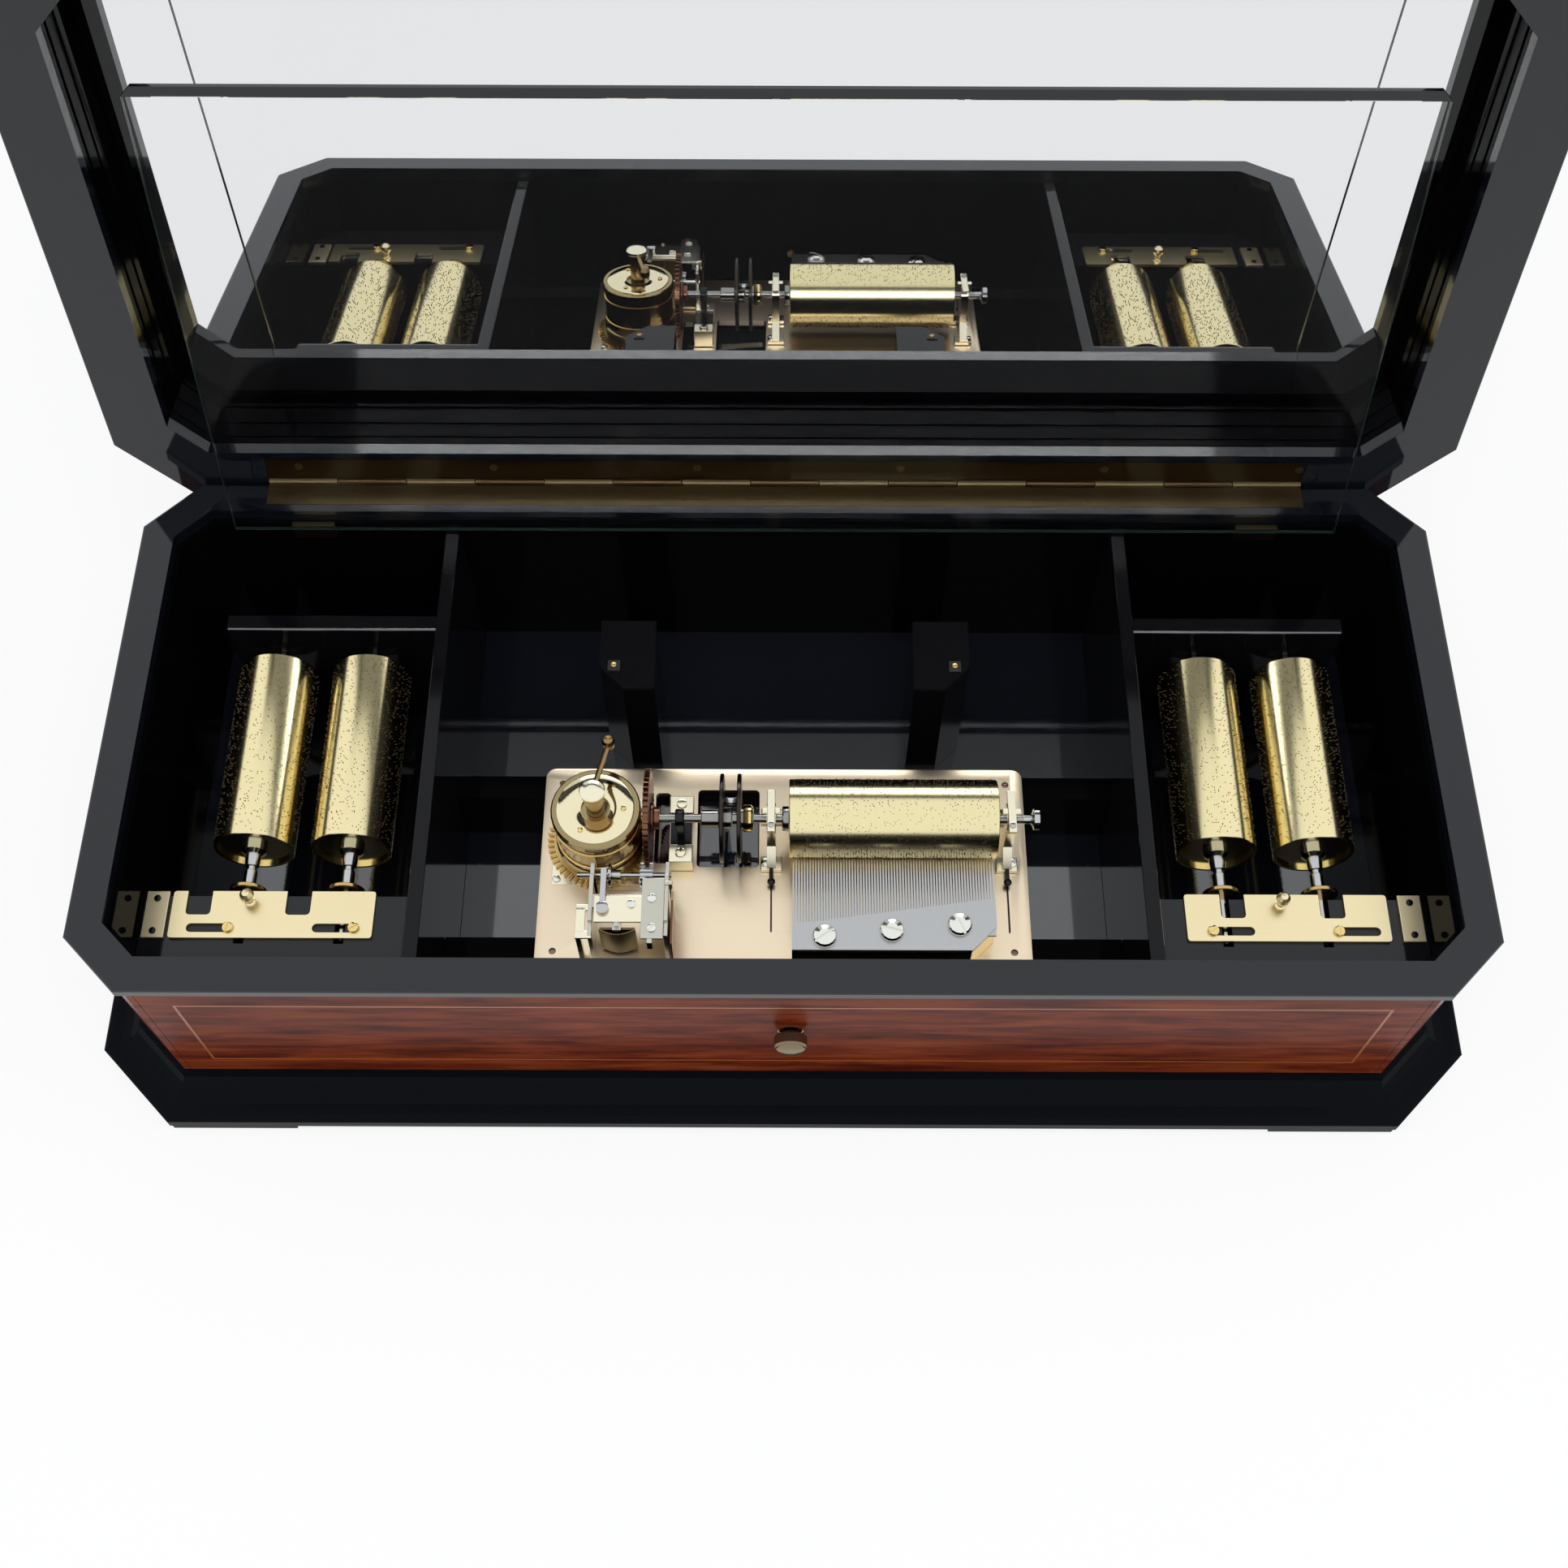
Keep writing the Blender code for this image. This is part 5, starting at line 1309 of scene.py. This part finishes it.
@dataclass
class GovernorTrim:
    """The governor's cage with its plates, lever, hook and screws, and the fly's vane."""

    top: float = 111.5
    seat: float = 79.3
    fly: tuple[float, float] = (-90.0, -103.0)
    pinion: tuple[float, float] = (-67.863, 101.227)
    screw: Screw = Screw(2.6, 1.5, slot=0.55)
    screws: tuple[Point, ...] = (
        (-98.0, -93.6, 10.0), (-82.4, -91.0, 60.0), (-71.4, -87.5, 110.0), (-71.0, -105.0, 40.0))
    hook: tuple[Bar, ...] = (
        Bar((-112.6, -93.0, 108.2), (-104.0, -89.4, 109.8), 0.35),
        Bar((-112.6, -106.0, 108.2), (-107.4, -91.0, 109.8), 0.35),
        Bar((-112.6, -109.4, 108.2), (-103.6, -105.0, 109.8), 0.35),
        Bar((-112.4, -109.0, 79.0), (-109.4, -106.0, 109.6), 0.35))
    cheeks: tuple[tuple[float, float], ...] = ((-106.0, -103.6), (-65.0, -62.6))
    vane_width: float = 20.0
    vane_height: float = 24.6
    vane_bow: float = 3.1
    vane_sheet: float = 0.4
    vane_middle: float = 96.2
    vane_ahead: float = 0.8

    def build(self) -> None:
        """Makes the cage and its small parts from the top down."""
        top = self.top
        self.cage()
        plate = Bar((-102.6, -101.2, top), (-76.0, -85.6, top + 1.5), 0.35)
        Workbench.add("governor_top_plate", PALE_BRASS, "nickel", plate)
        Workbench.add("governor_cock", SATIN_NICKEL, "nickel",
                      Bar((-77.0, -111.0, top + 0.1), (-64.8, -75.0, top + 1.7), 0.4),
                      Bar((-73.5, -113.6, top - 7.0), (-70.5, -110.8, top + 1.5), 0.4),
                      Bar((-68.0, -79.0, top - 5.0), (-60.5, -76.5, top + 1.4), 0.4))
        Workbench.add("governor_screws", NICKEL, "nickel",
                      *(self.screw.at(x, y, top + 1.5, turn) for x, y, turn in self.screws))
        boss = ((3.0, 0.0), (3.4, 0.3), (3.4, 1.8), (2.6, 2.2))
        boss = Turning(boss, (-98.0, -93.6, top + 3.0), Axis.Z, 20)
        Workbench.add("stop_lever", STEEL, "steel",
                      Bar((-99.6, -92.0, top + 3.2), (-96.4, -70.0, top + 4.4), 0.35), boss)
        Workbench.add("governor_hook", PALE_BRASS, "nickel", *self.hook)
        strip = Bar((-61.6, -110.0, 79.0), (-60.4, -84.0, 104.0), 0.25)
        Workbench.add("copper_strip", BRONZE, "bronze", strip)
        self.vane()

    def cage(self) -> None:
        """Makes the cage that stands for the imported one: a foot, two cheeks, the bridge and the fly's arm."""
        foot = Bar((-107.0, -112.0, self.seat), (-62.0, -68.0, self.seat + 2.0), 0.4).make("governor_foot")
        Workbench.bore(foot, (*self.fly, self.seat + 2.0), 1.3, 1.6)
        Workbench.fit(foot, BED_BRASS, "nickel")
        shapes = []
        for near, far in self.cheeks:
            shapes += [Bar((near, -108.0, self.seat + 1.0), (far, -71.0, 110.0), 0.35),
                       Bar((near, -100.0, 108.0), (far, -72.0, 112.0), 0.35),
                       Bar((near, -78.0, 88.0), (far, -64.0, 110.0), 0.35)]
        bridge = Bar((-106.0, -92.0, 109.5), (-62.6, -84.0, 111.5), 0.35)
        arm = Bar((-92.4, -105.4, 110.2), (-87.6, -90.0, 111.5))
        cage = Workbench.form("governor_cage", *shapes, bridge, arm)
        Workbench.bore(cage, (-84.0, *self.pinion), 1.75, 60.0, Axis.X)
        Workbench.bore(cage, (*self.fly, 110.0), 1.3, 8.0)
        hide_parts("governor_frame")
        Workbench.fit(cage, SATIN_NICKEL, "nickel")

    def vane(self) -> None:
        """Makes the fly's one wide vane, bowed forward round its arbor."""
        Workbench.clear()
        bpy.ops.mesh.primitive_grid_add(x_subdivisions=12, y_subdivisions=4, size=1.0, location=(0, 0, 0))
        vane = Workbench.named("fly_sheet")
        vane.data.transform(Matrix.Diagonal((self.vane_width * MM, self.vane_height * MM, 1.0, 1.0)))
        for vertex in vane.data.vertices:
            vertex.co.z = self.vane_bow * MM * math.cos(vertex.co.x / (self.vane_width * MM) * math.pi)
        place = Matrix.Translation(spot(self.fly[0], self.fly[1] - self.vane_ahead, self.vane_middle))
        vane.data.transform(place @ Axis.FRONT.turn())
        Workbench.apply(vane, "SOLIDIFY", thickness=self.vane_sheet * MM)
        bpy.ops.object.shade_smooth_by_angle(angle=SMOOTH_ANGLE)
        Workbench.fit(vane, VANE_BRASS, "brass", Carrier.FLY)


@dataclass
class BarrelTrim:
    """Turned rings, cover and screws of the spring barrel, and the post's cap."""

    x: float = -104.0
    y: float = -36.0
    top: float = 119.0
    hole: float = 8.2
    bands: tuple[float, float] = (92.0, 108.0)
    screw_circle: float = 15.5
    third: float = 2.094
    cap_z: float = 143.0
    screw: Screw = Screw(1.6, 0.8, 0.3, 0.4, 14)

    def build(self) -> None:
        """Makes the barrel's cover ring, its bands and screws, and the cap on the winding post."""
        profile = ((21.5, 0.0), (21.5, 0.5), (20.9, 0.8), (9.0, 0.95), (8.4, 0.6))
        cover = Turning(profile, (self.x, self.y, self.top - 0.1), Axis.Z, 48).make("barrel_cover")
        Workbench.bore(cover, (self.x, self.y, self.top), self.hole, 6.0)
        Workbench.fit(cover, COVER_BRASS, "brass", Carrier.BARREL)
        profile = ((23.9, 0.0), (24.6, 0.4), (24.6, 1.2), (23.9, 1.6))
        bands = [Turning(profile, (self.x, self.y, z), Axis.Z, 40).make("band") for z in self.bands]
        for band in bands:
            Workbench.bore(band, (self.x, self.y, 100.0), self.hole + 12.0, 60.0)
        Workbench.fit(Workbench.joined("barrel_bands", bands), OLD_BRASS, "brass", Carrier.BARREL)
        angles = [i * self.third for i in range(3)]
        Workbench.add("barrel_cover_screws", BRASS, "brass",
                      *(self.screw.at(self.x + self.screw_circle * math.cos(angle),
                                      self.y + self.screw_circle * math.sin(angle), self.top + 0.85, 50.0 * i)
                        for i, angle in enumerate(angles)), body=Carrier.BARREL)
        cap = Turning(((6.9, -3.4), (7.1, -3.0), (7.1, -1.4), (5.6, 0.2), (2.0, 0.7)),
                      (self.x, self.y, self.cap_z), Axis.Z, 28)
        Workbench.add("post_cap", PALE_BRASS, "brass", cap, body="crank")


@dataclass
class UprightTrim:
    """Small flush dark square on the front tip of each upright, a painted shade of the catch's recess, with a
    screw in it.
    """

    top: float = 124.8
    thickness: float = 1.0
    catch_x: tuple[float, float] = (94.0, 101.0)
    catch_y: tuple[float, float] = (50.0, 57.0)
    screw: Screw = Screw(1.7, 0.8, slot=0.4, steps=14)

    def build(self) -> None:
        """Makes both catches."""
        near, far = self.catch_y
        for side, label in SIDES:
            left, right = span(side, *self.catch_x)
            # A flush dark square: painted shade of the catch's recess.
            Workbench.add(f"upright_catch_painted_shade_{label}", RECESS_PAINTED_SHADE, "lacquer",
                          Bar((left, near, self.top - self.thickness), (right, far, self.top)))
            Workbench.add(f"upright_screw_{label}", OLD_BRASS, "brass",
                          self.screw.at((left + right) / 2, (near + far) / 2, self.top, 30.0))


@dataclass
class StartKnobTrim:
    """Flange round the start knob's stem, and the knob's domed face."""

    centre: Point = (4.0, -154.5, 90.0)
    stem_hole: float = 3.5
    flange: Profile = ((7.2, -0.4), (7.2, 0.5), (6.2, 1.0), (3.6, 1.1))
    dome: Profile = ((8.0, 9.6), (7.7, 10.6), (6.4, 11.4), (3.4, 11.9), (0.8, 12.0))

    def build(self) -> None:
        """Makes the flange and the domed knob face."""
        flange = Turning(self.flange, self.centre, Axis.FRONT, 28).make("start_knob_flange")
        Workbench.bore(flange, self.centre, self.stem_hole, 12.0, Axis.FRONT)
        Workbench.fit(flange, POST_BRASS, "brass")
        # The dome's dim brass is partly painted shade.
        dome = Turning(self.dome, self.centre, Axis.FRONT, 28)
        Workbench.add("start_knob_dome", KNOB_BRASS, "brass", dome, body=Carrier.START)


@dataclass
class Studio:
    """Floor, sky, lamps and the camera at the photograph's place."""

    floor_glow: float = 0.8
    focal_px: float = 2335.0
    pitch_down: float = 62.0
    roll: float = 0.2
    camera_back: float = 514.5
    camera_up: float = 1049.0
    sky_level: float = 0.55
    floor_half: float = 4.0
    lamps: tuple[tuple[str, Point, float, float], ...] = (
        ("key_lamp", (0.0, -1.2, 2.2), 1.6, 26.0), ("left_lamp", (-1.8, -0.2, 1.5), 1.0, 8.0),
        ("right_lamp", (1.8, -0.2, 1.5), 1.0, 10.0))

    def build(self) -> None:
        """Makes everything that isn't the object."""
        self.floor()
        self.sky()
        for name, place, size, power in self.lamps:
            self.lamp(name, place, size, power)
        self.camera()
        bpy.context.scene.view_settings.view_transform = "Standard"

    @staticmethod
    def seen_rays(wiring: Wiring) -> bpy.types.Node:
        """Tells camera, mirror and glass rays from the light that falls on the object.

        Args:
            wiring: The material's or world's wiring.

        Returns:
            A node whose first output is 1 for rays that show the background.
        """
        path = wiring.add("LightPath")
        either = wiring.add("Math", operation="MAXIMUM")
        every = wiring.add("Math", operation="MAXIMUM")
        wiring.link((path, "Is Camera Ray", either, 0), (path, "Is Glossy Ray", either, 1),
                    (either, 0, every, 0), (path, "Is Transmission Ray", every, 1))
        return every

    def floor(self) -> None:
        """A wide pale floor that keeps a soft shadow."""
        Workbench.clear()
        bpy.ops.mesh.primitive_plane_add(size=2 * self.floor_half, location=(0, 0, 0))
        floor = bpy.context.object
        floor.name = "studio_floor"
        material = bpy.data.materials.new("pale_floor")
        material.use_nodes = True
        nodes = material.node_tree.nodes
        shader = nodes["Principled BSDF"]
        shader.inputs["Base Color"].default_value = (0.9, 0.9, 0.9, 1.0)
        shader.inputs["Roughness"].default_value = 0.8
        wiring = Wiring(material.node_tree)
        glow = wiring.add("Emission")
        seen = wiring.add("Math", {1: self.floor_glow}, operation="MULTIPLY")
        blend = wiring.add("MixShader")
        wiring.link((self.seen_rays(wiring), 0, seen, 0), (seen, 0, blend, "Fac"), (shader, "BSDF", blend, 1),
                    (glow, "Emission", blend, 2), (blend, "Shader", nodes["Material Output"], "Surface"))
        floor.data.materials.append(material)

    def sky(self) -> None:
        """White to the camera and a plain even level on the object."""
        world = bpy.data.worlds.new("studio_sky")
        bpy.context.scene.world = world
        world.use_nodes = True
        wiring = Wiring(world.node_tree)
        backdrop = world.node_tree.nodes["Background"]
        backdrop.inputs["Color"].default_value = (0.95, 0.98, 1.0, 1.0)
        level = wiring.add("MapRange", {"To Min": self.sky_level, "To Max": 1.0})
        wiring.link((self.seen_rays(wiring), 0, level, "Value"), (level, "Result", backdrop, "Strength"))

    @staticmethod
    def lamp(name: str, place: Point, size: float, power: float) -> None:
        """Hangs one wide soft lamp that shines on the box and isn't seen in reflections.

        Args:
            name: The lamp's name.
            place: Where it hangs, in metres.
            size: Its width in metres.
            power: Its power in watts.
        """
        lamp = bpy.data.lights.new(name, "AREA")
        lamp.size = size
        lamp.energy = power
        holder = bpy.data.objects.new(name, lamp)
        bpy.context.scene.collection.objects.link(holder)
        holder.location = place
        holder.rotation_euler = (Vector((0, 0, 0.1)) - Vector(place)).to_track_quat("-Z", "Y").to_euler()
        holder.visible_glossy = False

    def camera(self) -> None:
        """The photograph's viewing angle, with no shift and no depth of field."""
        view = bpy.data.cameras.new("photo_camera")
        view.sensor_width = SENSOR_MM
        view.lens = self.focal_px / IMAGE_SIZE * SENSOR_MM
        holder = bpy.data.objects.new("photo_camera", view)
        bpy.context.scene.collection.objects.link(holder)
        tilt = Matrix.Rotation(math.radians(90 - self.pitch_down), 4, "X")
        roll = Matrix.Rotation(math.radians(self.roll), 4, "Z")
        place = Matrix.Translation(spot(0.0, -self.camera_back, self.camera_up))
        holder.matrix_world = place @ tilt @ roll
        bpy.context.scene.camera = holder


def main() -> None:
    """Dresses the box, makes its small pieces, then sets the studio."""
    NodeDresser().dress()
    for assembly in (TuneCylinders(), InlayLines(), LidTrim(), HingeScrews(), GlassTrim(), LatchTrim(),
                     BedTrim(), BearingTrim(), CouplingTrim(), BoardTrim(), GovernorTrim(), BarrelTrim(),
                     UprightTrim(), StartKnobTrim()):
        assembly.build()
        log.info("made %s", type(assembly).__name__)
    Studio().build()


if __name__ == "__main__":
    main()
